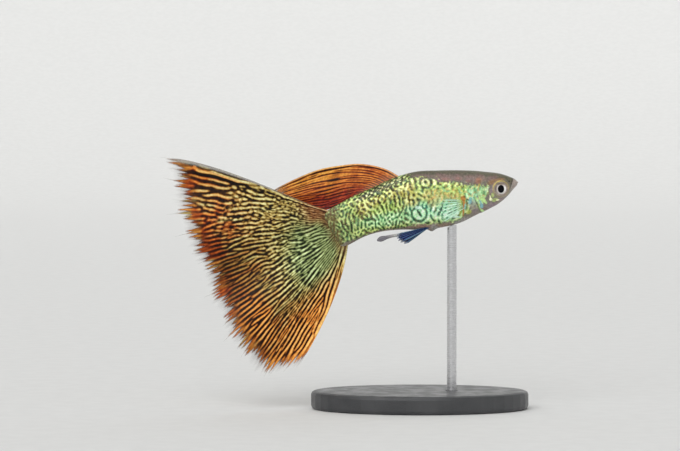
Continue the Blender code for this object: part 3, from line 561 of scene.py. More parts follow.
def bodyLace(along, girth, x, z):
    # The light mesh of the flanks, grown on the skin laid flat, with its ring marks forced in, and
    # four noises of rising size, all read at the skin's own points.
    cell, reach = body["laceCell"], body["laceReach"]
    shape = (int(2 * reach / cell), int(along.max() / cell) + 3)
    column, row = along / cell + 1, (girth + reach) / cell
    flatX, flatZ = spreadOver(shape, row, column, (x, z))
    side = np.where(np.arange(shape[0])[:, None] * cell < reach, 1, -1)
    wander = softNoise(shape, 30, 5)
    rear, upright = rise(0.5, -5.0, flatX), rise(-7.5, -11.0, flatX)
    tilt = np.radians(90 + (38 * upright - 2 - 12 * rear + 22 * wander) * side)
    order = np.clip(0.36 + 0.08 * rear - 0.16 * upright + 0.14 * softNoise(shape, 40, 6), 0, 0.8)
    wave = 1 + 0.08 * softNoise(shape, 45, 7) + 0.24 * (1 - rear) - 0.08 * rise(-9, -13, flatX)
    bias = 0.62 + 0.16 * softNoise(shape, 18, 8) + 0.20 * blob(flatX, flatZ, 4.0, 32.6, 5.0, 1.7)
    for cx, cz, outer, opening, dx, dz in body["rings"]:
        away, bearing = around(flatX, flatZ, (cx, cz), 1.1)
        ring = hill(away - outer, 0.17) * (1 - turnHill(bearing, opening, 38))
        pupil = blob(flatX, flatZ, cx, cz + 0.12, 0.17, 0.34, 40)
        pupil = pupil + blob(flatX, flatZ, cx + dx, cz + dz, 0.34, 0.15, -40)
        bias = bias + 2.6 * hill(away - outer * 0.55, outer * 0.30) - 3.0 * ring - 4.0 * pupil
    wave = body["laceWave"] * wave / cell
    lace = growLace(tilt, wave, order, bias, body["laceSeed"], steps=4, gain=2.0, band=0.6, fan=0.45)
    calm = blobs(flatX, flatZ, [(cx, cz, outer * 1.2, outer * 1.2) for cx, cz, outer, *_ in body["rings"]])
    lace = soften(lace + body["laceBroken"] * softNoise(shape, 4.2, 12) * (1 - 0.8 * calm), 1.0)
    lace = lace + 0.10 * softNoise(shape, 2.2, 17)
    # Round light spots in staggered rows below the back fin.
    beaded = rise(0.15, 0.75, blob(flatX, flatZ, -6.0, 36.62, 4.4, 0.95, 20) + 0.25 * wander)
    down, back = np.pi * cell * np.indices(shape)
    studs = (np.cos(back / 0.43 + 0.6 * wander + 0.70 * softNoise(shape, 8, 18))
             * np.cos(down / 0.46 + 0.70 * softNoise(shape, 8, 19)))
    lace = lace * (1 - 0.55 * beaded) + beaded * lace.std() * (2.3 * studs - 0.6)
    contrast = 0.88 + 0.25 * np.tanh(softNoise(shape, 14, 13)) + 0.22 * rear
    fields = [unit((lace / lace.std() * contrast + 1.15) / 2.75)]
    fields += [softNoise(shape, size, seed) for size, seed in ((3.2, 9), (5.5, 11), (6.5, 14), (16, 10))]
    return [readField(field, column, row) for field in fields]


# Colour patches by name: lists of ellipses (x, z, radius x, radius z, turn in degrees).
patches = {
    "turquoise": ((4.2, 33.0, 3.2, 1.9), (-0.2, 32.6, 2.4, 1.9), (8.6, 35.2, 1.2, 1.6)),
    "peach": ((1.9, 35.3, 2.4, 0.9), (5.2, 35.0, 2.0, 0.6, 10), (-1.9, 36.6, 1.0, 0.8),
              (2.2, 34.0, 1.0, 0.7)),
    "gold": ((-3.4, 35.9, 2.8, 1.1, 14), (-7.6, 34.3, 2.0, 0.8, 24), (-9.6, 33.0, 1.2, 1.2),
             (-1.5, 34.6, 1.4, 1.2)),
    "cream": ((0.9, 37.7, 1.9, 0.6), (-4.8, 37.2, 2.8, 0.60, 23), (-8.8, 35.3, 2.4, 0.45, 26)),
    "lime": ((7.0, 36.1, 1.5, 0.8), (7.6, 34.9, 1.0, 0.5), (-6.0, 32.0, 3.5, 1.6, 14)),
    "mint": ((-5.0, 31.5, 5.2, 1.2, 8), (10.5, 36.4, 0.85, 0.75), (9.2, 36.2, 0.9, 0.7),
             (10.4, 35.4, 0.5, 0.6, 30), (11.2, 36.6, 0.25, 0.35)),
    "gillGreen": ((10.5, 34.6, 0.24, 0.85, 32), (9.95, 34.7, 0.18, 0.85, 30), (9.75, 33.4, 0.17, 0.65, 22),
                  (10.2, 32.95, 0.45, 0.20, -35), (9.1, 34.9, 0.16, 0.6, 30), (8.3, 34.9, 0.16, 0.5, 25)),
    "gillBlue": ((10.1, 33.7, 0.34, 0.42, 20), (9.9, 34.3, 0.16, 0.4, 25), (8.2, 34.5, 0.30, 0.65, -10),
                 (7.3, 33.5, 0.20, 0.55, -8)),
    "cheekGreen": ((12.3, 34.6, 0.55, 0.32, 15), (11.9, 35.4, 0.25, 0.45)),
    # painted highlights: near-white spots on the cheek below and behind the eye
    "cheekHighlight": ((11.62, 34.68, 0.26, 0.26), (12.75, 34.58, 0.30, 0.15, 10),
                   (11.5, 35.1, 0.10, 0.35, 10)),
    "violet": ((11.8, 36.2, 0.45, 0.7), (11.9, 33.7, 1.0, 0.55), (8.75, 33.6, 0.8, 1.2, 15),
               (13.6, 34.9, 0.9, 0.35, 30), (9.6, 35.2, 0.35, 0.25)),
    "mauve": ((4.4, 38.3, 3.2, 0.50), (9.4, 38.2, 2.0, 0.45, -6), (0.4, 38.55, 1.6, 0.30)),
    "flush": ((0.3, 30.3, 2.6, 0.5), (4.2, 30.4, 1.6, 0.4), (-5.2, 29.4, 1.6, 0.3, 12)),
    "pale": ((2.3, 30.1, 0.7, 0.6), (6.6, 31.2, 1.6, 0.35, 18)),
    "rust": ((11.7, 37.5, 0.8, 0.4, 20), (9.6, 37.8, 0.6, 0.5), (13.0, 37.9, 0.9, 0.3, 10)),
    "rose": ((6.3, 38.05, 0.7, 0.32), (9.5, 37.9, 0.40, 0.40), (4.2, 38.0, 0.9, 0.3),
             (9.3, 37.45, 0.5, 0.2), (7.9, 37.7, 0.5, 0.25)),
    "comma": ((7.05, 34.9, 0.45, 0.42), (7.18, 34.4, 0.18, 0.55), (7.12, 33.0, 0.16, 1.15, -3)),
    "oliveBand": ((6.6, 33.1, 0.34, 1.25, -2), (6.5, 34.4, 0.3, 0.5), (8.0, 32.6, 0.5, 0.35, 20)),
    "ink": ((-0.36, 32.70, 0.15, 0.34, 38), (0.02, 32.12, 0.34, 0.13, -38), (7.80, 34.66, 0.26, 0.15, -15),
            (3.4, 33.0, 0.13, 1.25, -18), (7.3, 35.1, 0.16, 0.1), (5.0, 32.6, 0.4, 0.12)),
    # painted highlights: white streaks on the turquoise round the pectoral fin's root
    "highlightStreaks": ((5.4, 31.9, 1.3, 0.22, -8), (5.2, 33.6, 1.1, 0.18, 35), (4.6, 32.6, 0.9, 0.16, 22),
               (-0.3, 33.35, 0.6, 0.28), (6.0, 32.5, 0.5, 0.3)),
}
crisp = ("gillGreen", "gillBlue", "cheekGreen", "cheekHighlight", "highlightStreaks", "ink", "comma")  # with hard edges


def buildSkin():
    # Rings of the surface from snout to stem, moved outwards by the relief, and a mask for each
    # colour: steps and hills over x, z, the distance from a feature, or a noise.
    stops = [np.linspace(-1, 0, body["snoutRings"], endpoint=False)]
    stops += [k + np.linspace(0, 1, rings, endpoint=False) for k, rings in enumerate(body["ringsBetween"])]
    stops += [lastStation + np.sin(np.linspace(0, np.pi / 2, body["capRings"]))]
    angle = circle(body["sides"])
    places, outward = bodySurface(np.concatenate(stops)[:, None], angle)
    x, z = places[..., 0], places[..., 2]
    along, girth = measureBody(places)
    onSide = np.abs(np.sin(angle)) ** 0.5
    scales, tint = scaleRelief(along, girth)
    scaly = rise(10.2, 7.2, x) * rise(0.0, 2.0, along.max() - along)
    lift = headRelief(x, z) * onSide + relief("vent", x) * hill(angle - np.pi, 0.30)
    lift = lift + body["scaleHeight"] * (scales - 0.5) * scaly
    skin = places + outward * lift[..., None]
    skin[..., 1] += sway(skin[..., 0])

    lace, grain, warm, cool, patch = bodyLace(along, girth, x, z)
    top = lineAt(x, body["laceTop"]) + 0.10 * grain + 0.16 * warm
    low = lineAt(x, body["laceLow"]) + 0.10 * grain + 0.08 * warm
    laced = rise(0.18, -0.18, z - top) * rise(-0.2, 0.2, z - low)
    faint = blobs(x, z, body["faint"])
    band = rise(0.15, -0.35, x - lineAt(z, body["stemEnd"]) + 0.10 * grain)
    across, beside = alongMouth(x, z)
    away, bearing = around(x, z, body["eyeCentre"])
    values = {
        "lace": lace + faint * 0.42 * (0.66 + 0.10 * grain - lace), "tint": tint,
        "laced": laced * rise(0.1, -0.1, x - body["laceFront"] - 0.10 * grain),
        "speck": rise(0.3, 1.6, grain), "clouded": rise(0.1, 1.4, patch),
        "warm": rise(0.2, 1.3, warm) * (0.25 + 0.75 * faint),
        "cool": rise(0.4, 1.4, cool) * (0.3 + 0.7 * faint),
        "scaleEdge": rise(0.25, 0.75, scales) * scaly, "scaleRim": rise(0.62, 0.95, scales) * scaly,
        "rear": rise(0.5, -4.5, x), "stem": rise(-9.5, -12.5, x + (z - 31) * 0.5),
        "rootBand": band * (0.7 + 0.3 * np.sin(x * 11 + 0.8 * grain)),
        "backness": rise(36.4, 39.0, z - lineAt(x, body["backLine"])),
        "bellyness": rise(1.9, 0.2, z - lineAt(x, body["bellyLine"])),
        "ridge": rise(0.75, 0.1, lineAt(x, body["ridgeLine"]) - z),
        "snout": rise(13.6, 15.4, x + (z - 37) * 0.3) * (0.25 + 0.75 * rise(36.7, 37.8, z)),
        # painted shade: the mouth's slit darkened
        "slit": hill(across, body["slit"][2] * 1.25) * hill(beside, 0.08) * (onSide > 0.15),
        "lip": rise(0.0, 0.12, -across) * hill(beside, 0.6), "socket": rise(1.16, 1.02, away),
        "eyeArc": hill(away - 1.30, 0.11) * unit(turnHill(bearing, 125, 62) + 0.25),
        "eyeShade": hill(away - 1.15, 0.35),
        # painted shade: the nostril's pit darkened
        "nostrilShade": hill(around(x, z, body["nostrilCentre"])[0], 0.11),
        # painted shade: a dark line in the step at the gill cover's rear edge
        "gillStepShade": hill(gillAhead(x, z) + 0.05, 0.075) * rise(37.4, 36.4, z)}
    for name, spots in patches.items():
        values[name] = blobs(x, z, spots)
        if name in crisp:
            values[name] = rise(0.22, 0.62, values[name] + 0.07 * grain)
    makeTube("skin", skin, skinMaterial(), ("head", "torso", "tail_stem"), values)


# Five colours over the lace, from its darks to its brightest; all but the first with mask and strength.
skinTones = (
    ((26, 38, 8), (90, 140, 30), (280, 420, 100), (520, 660, 200), (840, 920, 460)),
    ("rear", 1.0, (10, 16, 2), (32, 52, 7), (110, 200, 35), (290, 430, 95), (740, 850, 320)),
    ("lime", 0.7, (30, 60, 10), (120, 220, 30), (340, 520, 90), (500, 700, 160), (780, 920, 400)),
    ("turquoise", 0.95, (8, 60, 40), (40, 230, 160), (280, 700, 440), (560, 970, 680), (950, 1000, 940)),
    ("peach", 0.5, (80, 70, 25), (280, 240, 80), (500, 430, 150), (760, 510, 200), (960, 820, 440)),
    ("gold", 0.85, (20, 14, 1), (70, 50, 6), (280, 240, 40), (560, 500, 120), (820, 860, 440)),
    ("cream", 0.75, (12, 16, 6), (40, 50, 18), (200, 210, 90), (600, 580, 310), (950, 900, 680)),
    ("stem", 0.8, (6, 10, 3), (22, 45, 14), (85, 150, 50), (220, 340, 120), (560, 680, 280)),
    ("mint", 0.9, (12, 50, 25), (50, 200, 90), (200, 500, 220), (420, 740, 380), (800, 980, 720)),
)
skinPaint = {
    "flank": (
        ("warm", 0.50, (800, 440, 150)), ("cool", 0.50, (360, 760, 460)), ("speck", 0.20, (860, 840, 440)),
        ("rootBand", 0.9, (120, 62, 20)),
    ),
    "plain": (
        ("backness", 1.0, (132, 116, 92)), ("bellyness", 0.9, (260, 225, 190)),
        ("snout", 0.85, (95, 90, 65)), ("clouded", 0.55, (200, 115, 125)), ("speck", 0.40, (250, 220, 150)),
        ("mauve", 0.75, (250, 165, 155)), ("flush", 0.55, (400, 250, 180)), ("pale", 0.6, (360, 360, 380)),
        ("ridge", 0.85, (85, 80, 40)), ("scaleRim", 0.45, (45, 40, 28)),
    ),
    "details": (
        ("violet", 0.70, (270, 200, 250)), ("rust", 0.55, (340, 170, 60)), ("rose", 0.40, (360, 130, 110)),
        ("oliveBand", 0.75, (420, 500, 70)), ("gillGreen", 0.9, (520, 800, 320)),
        ("gillBlue", 0.8, (200, 460, 520)), ("comma", 0.9, (480, 160, 20)),
        # painted highlights: near-white spots on the cheek
        ("cheekGreen", 0.6, (500, 680, 200)), ("cheekHighlight", 0.95, (920, 920, 620)),
        # painted highlights: white streaks on the turquoise near the pectoral fin
        ("ink", 0.9, (15, 40, 30)), ("highlightStreaks", 0.8, (720, 980, 820)), ("eyeShade", 0.4, (300, 250, 200)),
        ("eyeArc", 0.85, (550, 430, 100)), ("socket", 0.8, (440, 360, 330)), ("lip", 0.7, (400, 350, 340)),
        # painted shade: a dark line in the gill cover's step
        # painted shade: the mouth's slit darkened
        # painted shade: the nostril's pit darkened
        ("slit", 0.7, (50, 40, 35)), ("nostrilShade", 0.9, (30, 25, 20)), ("gillStepShade", 0.6, (80, 75, 50)),
    ),
}


def skinMaterial():
    # The laced flank over the plain back and belly, then the details, among them painted shade and painted
    # highlights, then grains and scale tints.
    material, tree, shader = newMaterial("livingSkin", coat=0.20, specular=0.30)
    flank = paint(tree, toned(tree, mask(tree, "lace"), skinTones), skinPaint["flank"])
    colour = blend(tree, mask(tree, "laced"), paint(tree, (200, 185, 155), skinPaint["plain"]), flank)
    colour = paint(tree, colour, skinPaint["details"])
    colour, grain = grained(tree, colour, 3200.0, 0.42, (30, 30, 12), 5200.0, 0.35)
    tints = colourRamp(tree, mask(tree, "tint"), ((260, 400, 180), (450, 450, 350), (660, 500, 340)))
    feed(tree, shader.inputs, {"Base Color": blend(tree, 0.20, colour, tints, "OVERLAY"),
                               "Metallic": times(tree, mask(tree, "lace"), mask(tree, "laced", 0.30)),
                               "Roughness": remap(tree, grain, 0.3, 0.7, 0.28, 0.46)})
    addBumps(tree, shader, calc(tree, "ADD", grain, mask(tree, "scaleEdge", 0.8)), 0.00002)
    return material


# Eyes
eye = {"centre": (13.28, 1.38, 36.42), "radius": 0.98, "depth": 0.84, "pupil": (0.53, 0.66),
       "iris": (0.92, 0.88), "lensRise": 0.03, "lensSpread": 0.55, "rings": 90, "sides": 96,
       # glint: painted highlights on the iris, at its right and below
       "glint": ((0.66, 0.10, 0.22, 0.42), (-0.15, -0.68, 0.5, 0.12, 0, 0.7)),
       "dusk": ((-0.1, 0.85, 0.75, 0.26), (-0.85, 0.2, 0.16, 0.5))}


def buildEye(name, sign, material):
    # A sphere of rings about its own axis, across the head; the lens swells the middle.
    polar = np.linspace(0.02, np.pi - 0.02, eye["rings"])[:, None]
    angle = circle(eye["sides"])
    dx, dz = eye["radius"] * np.sin(polar) * np.cos(angle), eye["radius"] * np.sin(polar) * np.sin(angle)
    out = np.cos(polar) * np.ones_like(angle)
    front = out > 0
    cx, cy, cz = eye["centre"]
    y = cy + out * eye["depth"] + eye["lensRise"] * hill(np.hypot(dx, dz), eye["lensSpread"]) * front
    pupil, iris = (np.hypot(dx / wide, dz / tall) for wide, tall in (eye["pupil"], eye["iris"]))
    values = {"pupil": rise(1.06, 0.94, pupil) * front, "iris": rise(1.08, 0.92, iris) * front,
              "glint": blobs(dx, dz, eye["glint"]), "dusk": blobs(dx, dz, eye["dusk"]),
              "fleck": 0.5 + 0.5 * np.sin(angle * 23 + 3 * np.sin(polar * 40))}
    makeTube(name, np.stack([cx + dx, sign * y, cz + dz], axis=-1), material, (name,), values)


def eyeMaterial():
    material, tree, shader = newMaterial("wetEye", roughness=0.25, specular=0.06)
    # the iris, with painted highlights (glint) near white
    iris = paint(tree, (760, 710, 680), (("fleck", 0.25, (600, 560, 540)), ("dusk", 0.8, (340, 270, 200)),
                                         ("glint", 1.0, (970, 970, 950))))
    colour, grain = grained(tree, iris, 7000.0, 0.22)
    colour = blend(tree, mask(tree, "iris"), (620, 520, 470), colour)
    ring = calc(tree, "SUBTRACT", mask(tree, "iris"), mask(tree, "pupil"))
    feed(tree, shader.inputs, {"Base Color": blend(tree, mask(tree, "pupil"), colour, (4, 4, 5)),
                               "Metallic": times(tree, ring, 0.35), "Coat Weight": times(tree, ring, 0.3)})
    addBumps(tree, shader, grain, 0.000008)
    return material


# The tail fin
tail = {
    "rootTop": (-14.93, 33.05), "rootLow": (-11.63, 27.25), "sunk": 1.0, "leaves": (166.0, 265.0),
    "edge": ((-41.6, 41.68), (-40.2, 35.4), (-38.5, 29.0), (-35.8, 23.0), (-33.5, 16.9), (-30.4, 11.0),
             (-26.1, 6.1), (-20.1, 7.0)),
    "across": 384, "along": 128, "teeth": 32, "fringe": 1.3, "fold": 1.25, "folds": 2.3, "lean": 1.0,
    "half": (0.20, 0.03), "rayHeight": 0.035, "rays": 16, "strands": 76, "tufts": 12, "strandSeed": 16,
    "cell": 0.085, "west": -44.0, "low": 3.0, "wide": 34, "tall": 40.5, "seed": 11,
    # light and dark patches over u and v
    "beads": ((0.52, 0.46, 0.24, 0.17), (0.24, 0.62, 0.12, 0.22), (0.12, 0.40, 0.10, 0.25, 0, 0.8),
              (0.80, 0.55, 0.10, 0.16, 0, 0.6)),
    "mint": ((0.58, 0.28, 0.28, 0.22), (0.40, 0.2, 0.3, 0.16, 0, 0.5), (0.75, 0.25, 0.2, 0.25, 0, 0.4)),
    "blaze": ((0.95, 0.70, 0.14, 0.45), (0.70, 0.80, 0.10, 0.10)),
}


def tailFlat(u, v):
    # Rays in x and z from the root line (u = 0 its top) to the outer edge, each the cubic
    # (1-w)^3 start + 3w(1-w)^2 near + 3w^2(1-w) far + w^3 tip, with the way they end in and the
    # way ahead of the root.
    top, low = np.array(tail["rootTop"]), np.array(tail["rootLow"])
    length = np.linalg.norm(low - top)
    down = (low - top) / length
    ahead = np.array((-down[1], down[0]))
    start = top - 0.25 * ahead + (0.1 + u * (length - 0.2))[..., None] * down
    tip = curveThrough(tail["edge"], u)
    reach = tip - start
    chord = np.arctan2(reach[..., 1], reach[..., 0]) % (2 * np.pi)
    span = np.linalg.norm(reach, axis=-1)[..., None]
    first, last = tail["leaves"]
    above, below = hill(u, 0.15), hill(1 - u, 0.15)
    bearings = (np.radians(first + (last - first) * u**1.15), chord + np.radians(3 + 10 * above - 14 * below))
    leaving, final = (np.stack([np.cos(bearing), np.sin(bearing)], axis=-1) for bearing in bearings)
    near = start + leaving * span * (0.17 + 0.05 * u)[..., None]
    far = tip - final * span * (0.34 + 0.08 * below)[..., None]
    w = v[..., None]
    flat = (1 - w)**3 * start + 3 * w * (1 - w)**2 * near + 3 * w**2 * (1 - w) * far + w**3 * tip
    return flat, final, ahead


def tailPlace(u, v):
    # The flat fan with a ragged edge, folded in sine waves and leant over at the top. Below v = 0
    # it goes on into the stem.
    flat, final, ahead = tailFlat(u, np.maximum(v, 0))
    ragged = 0.5 + 0.3 * np.sin(37.0 * u + 1.3) + 0.2 * np.sin(71.0 * u)
    tooth = 0.5 - 0.22 * np.cos(2 * np.pi * tail["teeth"] * u)
    tooth = tooth + 0.16 * np.sin(310 * u + 1) + 0.12 * np.sin(455 * u + 2)
    fringe = unit((v - 0.86) / 0.14) * (tooth * (0.35 + ragged) - 0.38) * tail["fringe"]
    sunk = unit(-v) * tail["sunk"] / 0.04
    flat = flat + final * fringe[..., None] + ahead * sunk[..., None]
    fold = tail["fold"] * np.sin(2 * np.pi * tail["folds"] * u + 0.6) * np.maximum(v, 0)**1.6
    lean = -tail["lean"] * hill(u, 0.25) * np.maximum(v, 0)
    return np.stack([flat[..., 0], fold + lean + sway(flat[..., 0]), flat[..., 1]], axis=-1)


def tailCells(x, z):  # columns and rows of the tail's raster
    return (x - tail["west"]) / tail["cell"], (z - tail["low"]) / tail["cell"]


def tailLace(x, z):
    # The lace of the tail, grown in its own plane along the rays: straight at the bottom, looped
    # at the top, in separate light dashes in the middle. It and two noises are read at x and z.
    shape = (int(tail["tall"] / tail["cell"]), int(tail["wide"] / tail["cell"]))
    u, v = sheetGrid(500, 300, end=1.05)
    flat = tailFlat(u, v)[0]
    way = np.gradient(flat, axis=1)
    bearing = 2 * np.arctan2(way[..., 1], way[..., 0])
    column, row = tailCells(flat[..., 0], flat[..., 1])
    known = (np.cos(bearing), np.sin(bearing), u, v)
    doubleCos, doubleSin, across, out = spreadOver(shape, row, column, known)
    topLeft, straight = rise(0.30, 0.10, across) * rise(0.40, 0.70, out), rise(0.50, 0.75, across)
    loose = rise(0.45, 0.2, across) * rise(0.1, 0.3, out)
    loose = loose + 0.8 * rise(0.30, 0.05, out) * rise(0.75, 0.5, across)
    wander = np.radians(12) * softNoise(shape, 22, 3) * (1 - 0.8 * straight) * rise(1.1, 0.6, out)
    direction = 0.5 * np.arctan2(doubleSin, doubleCos) + wander
    order = np.clip(0.70 + 0.24 * straight + 0.18 * rise(0.5, 0.85, out) - 0.28 * loose
                    + 0.13 * softNoise(shape, 30, 4), 0.05, 0.97)
    wave = (0.50 + 0.13 * unit(out)**2 + 0.38 * topLeft - 0.05 * straight * unit(out)
            + 0.06 * rise(0.82, 0.94, across) + 0.05 * softNoise(shape, 40, 6)) / tail["cell"]
    beads = blobs(across, out, tail["beads"])
    islands = unit(beads + 0.8 * loose)
    bias = (0.02 + 0.12 * softNoise(shape, 16, 7) - 0.85 * islands
            - 0.55 * rise(0.55, 0.95, out) * rise(0.95, 0.75, across) * rise(0.15, 0.35, across))
    lace = growLace(direction, wave, order, bias, tail["seed"], steps=8, gain=1.6, band=0.5, fan=0.24,
                    even=10)
    broken = 0.17 * (1 + 2.0 * beads - 0.4 * straight) * softNoise(shape, 5, 10)
    lace = (lace - 1.2 * islands * soften(lace, 14)) * (1 + 0.15 * islands + 0.30 * straight)
    lace = soften(lace + broken, 0.9)
    fields = (lace / lace.std(), softNoise(shape, 34, 8), softNoise(shape, 4, 9))
    return [readField(field, *tailCells(x, z)) for field in fields]


def membraneMaterial(name, looks):
    # A fin's finish: lace of light and dark along the rays, ripening outwards, clear at the edge.
    material, tree, shader = newMaterial(name, roughness=0.5, specular=0.15)
    colour = paint(tree, toned(tree, mask(tree, "lace"), looks["tones"]), looks["over"])
    colour, grain = grained(tree, colour, 2600.0, 0.36, (20, 10, 4), 6400.0)
    feed(tree, shader.inputs, {"Base Color": colour, "Alpha": mask(tree, "solid")})
    addBumps(tree, shader, calc(tree, "ADD", grain, mask(tree, "lace")), 0.00002)
    return material


tailLooks = {
    "tones": (
        ((4, 2, 1), (30, 15, 3), (270, 175, 38), (550, 420, 125), (760, 700, 320)),
        ("fire", 1.0, (8, 2, 1), (45, 12, 2), (270, 72, 10), (540, 200, 26), (780, 430, 110)),
        ("pale", 0.75, (6, 4, 1), (40, 30, 8), (300, 250, 80), (570, 500, 200), (780, 770, 420)),
        ("ruddy", 0.7, (5, 1, 1), (30, 4, 2), (220, 35, 6), (440, 90, 12), (700, 240, 40)),
        ("mint", 1.0, (4, 7, 2), (30, 45, 13), (220, 270, 95), (410, 490, 210), (680, 790, 420)),
        ("ember", 0.85, (6, 1, 1), (45, 6, 2), (220, 30, 4), (460, 85, 9), (740, 240, 35)),
        ("blaze", 0.95, (6, 2, 1), (50, 12, 2), (600, 190, 28), (860, 350, 60), (980, 580, 170)),
        ("russet", 0.9, (30, 5, 1), (90, 20, 5), (240, 85, 28), (440, 220, 95), (660, 440, 220)),
    ),
    "over": (
        ("root", 0.85, (130, 68, 26)), ("smoke", 0.7, (55, 40, 38)), ("gauze", 0.85, (170, 140, 100)),
    ),
}


def tailStrands():  # the middles, reaches and half-widths of the pointed strands at the outer edge
    random = np.random.default_rng(tail["strandSeed"])
    count = tail["strands"]
    middles = (np.arange(count) + 0.5 + random.uniform(-0.3, 0.3, count)) / count
    tuft = 0.5 + 0.5 * np.sin(2 * np.pi * tail["tufts"] * middles + 1.5 * np.sin(19 * middles))
    reach = 0.26 + 0.44 * tuft + random.uniform(0, 0.32, count)
    return middles, reach, random.uniform(0.40, 0.72, count) / count


def buildTail():
    # A sheet with forking rays. Its lace fades into strands towards the outer edge, where each
    # point takes the highest of the strands' hills, and the gaps between them are clear.
    u, v = sheetGrid(tail["across"], tail["along"], -0.04)
    middle = tailPlace(u, v)
    forks = rise(0.28, 0.5, v)
    rays = teeth(tail["rays"], u) * (1 - forks) + teeth(2 * tail["rays"], u) * forks
    lace, patch, grain = tailLace(middle[..., 0], middle[..., 2])
    streak = readField(softNoise((360, 24), 4, 15), v * 20 + 1, u * 358)
    outer = unit((v - 0.87) / 0.13)
    topRays = 0.5 * hill(u - 0.030, 0.009) - 0.6 * hill(u - 0.050, 0.008)
    lace = unit((lace + 0.06 * grain + 1.25) / 2.78)
    lace = unit(lace + topRays + 0.4 * rise(0.965, 0.99, u))
    lace = lace * (1 - 0.20 * rise(0.55, 0.85, v) * rise(0.80, 0.60, u) * rise(0.2, 0.5, u))
    middles, reach, wide = tailStrands()
    strand = (reach * hill(u[..., None] - middles, wide * (1.15 - 0.5 * outer[..., None]))).max(axis=-1)
    fading = rise(-0.16, 0.20, outer * 1.15 - 0.12 - strand + 0.02 * grain)
    share = 0.8 * rise(0.84, 0.93, v)
    ember = patch + blob(u, v, 0.32, 0.84, 0.12, 0.14, 0, 1.2) + blob(u, v, 0.5, 0.9, 0.2, 0.14, 0, 0.5)
    band = rise(0.17, 0.07, v) * rise(0.0, 0.25, u) + 0.2 * rise(0.3, 0.05, u) * rise(0.26, 0.10, v)
    topEdge = rise(0.022, 0.008, u)
    clear = 1 - 0.55 * topEdge * rise(0.2, 0.4, v)
    values = {"lace": lace * (1 - share) + share * (0.20 + 0.66 * strand),
              "fire": rise(0.44, 0.96, v + 0.05 * patch), "mint": blobs(u, v, tail["mint"]),
              "ember": rise(0.55, 1.6, ember) * rise(0.58, 0.85, v) * rise(0.80, 0.55, u),
              "blaze": blobs(u, v, tail["blaze"]), "pale": rise(0.5, 1.6, streak) * rise(0.05, 0.3, v),
              "ruddy": rise(0.3, 1.5, -streak) * rise(0.45, 0.8, v),
              "russet": rise(0.46, 0.20, u + 0.04 * patch) * rise(0.34, 0.16, v),
              "smoke": fading, "gauze": topEdge * rise(0.1, 0.3, v),
              "root": unit(band) * (0.72 + 0.28 * np.sin(v * 190 + 1.6 * grain + 8 * np.sin(u * 5))),
              "solid": unit((1 - fading * (1 - 0.22 * rise(1.0, 0.3, outer))) * clear)}
    makeSheet("caudal_fin", middle, thinning(tail, v, 2.2, rays, 0.8), u, v,
              membraneMaterial("tailMembrane", tailLooks), values)


def boxRoom(start, way):  # how far each line runs before it comes within 0.08 of the solids' box
    low, high = np.array(cadLow) / mm + 0.08, np.array(cadHigh) / mm - 0.08
    with np.errstate(divide="ignore", invalid="ignore"):
        return np.where(way > 0, (high - start) / way, (low - start) / way).min(axis=-1)


def buildStreamers(name, place, u, v, length, seed, material):
    # Thin threads that the rays end in: squared tubes of falling radius along gently bent lines
    # of that length, from the places at u and v.
    random = np.random.default_rng(seed)
    start = place(u, v)
    way = unitLong(start - place(u, v - 0.03))
    bend = random.normal(0, 0.07, (len(u), 3)) * np.array((1, 0.7, 1))
    length = np.maximum(np.minimum(length, boxRoom(start, way) * 0.9), 0.05)
    steps = np.linspace(0, 1, 7)[:, None]
    middle = start[:, None] + (way[:, None] + bend[:, None] * steps) * (steps * length[:, None, None])
    side = unitLong(np.cross(way, (0, 1, 0)))
    corner = circle(5)[:, None]
    ring = np.cos(corner) * side[:, None, None] + 0.7 * np.sin(corner) * np.cross(way, side)[:, None, None]
    points = middle[:, :, None] + (0.058 * (1 - steps) + 0.008)[..., None] * ring
    count, rings, sides = points.shape[:3]
    offset = (np.arange(count) * rings * sides)[:, None, None]
    cap = np.arange(sides)
    quads = (gridFaces(rings, sides, True) + offset).reshape(-1, 4)
    ends = (np.stack([cap[::-1], cap + (rings - 1) * sides]) + offset).reshape(-1, sides)
    values = {"far": np.tile(steps.ravel().repeat(sides), count),
              "own": np.repeat(random.uniform(0, 1, count), rings * sides)}
    makePiece(name, points.reshape(-1, 3), [quads, ends], material, (), values)


def streamerMaterial(name, warm):
    # From each thread's own warm colour to pale and clear at its far end.
    material, tree, shader = newMaterial(name, roughness=0.5)
    own = blend(tree, mask(tree, "own"), warm, (400, 270, 160))
    colour = grained(tree, blend(tree, mask(tree, "far"), own, (500, 450, 440)), 5000.0, 0.4)[0]
    solid = remap(tree, mask(tree, "far"), 0.0, 1.0, 0.80, 0.25)
    feed(tree, shader.inputs, {"Base Color": colour, "Alpha": solid})
    return material


# The dorsal fin
dorsal = {"base": ((-3.25, 38.55), (-7.2, 36.95), (-10.6, 35.45)),
          "front": ((-3.25, 38.55), (-6.4, 39.90), (-9.8, 40.50), (-13.3, 40.22), (-16.9, 39.5),
                    (-20.6, 38.0), (-23.9, 36.35)),
          "last": ((-10.6, 35.45), (-13.3, 33.8), (-16.4, 32.75), (-20.2, 33.4)),
          "end": ((-23.9, 36.35), (-23.4, 34.7), (-20.2, 33.4)),
          "rays": 11, "across": 150, "along": 190, "lean": 0.24, "fringe": 0.9, "wave": 0.35, "sunk": 0.7,
          "half": (0.16, 0.035), "rayHeight": 0.04, "laceRows": 110, "laceColumns": 300, "seed": 5,
          "threads": 24}
dorsalLooks = {
    "tones": (
        ((10, 2, 1), (90, 14, 3), (260, 46, 7), (470, 100, 11), (760, 300, 50)),
        ("amber", 0.9, (12, 3, 1), (100, 22, 3), (360, 110, 11), (580, 220, 20), (880, 500, 90)),
        ("crimson", 0.95, (10, 1, 1), (50, 2, 2), (140, 5, 3), (220, 12, 5), (400, 50, 15)),
    ),
    "over": (
        ("gilt", 0.7, (620, 400, 260)), ("smoke", 0.4, (200, 120, 70)),
    ),
}


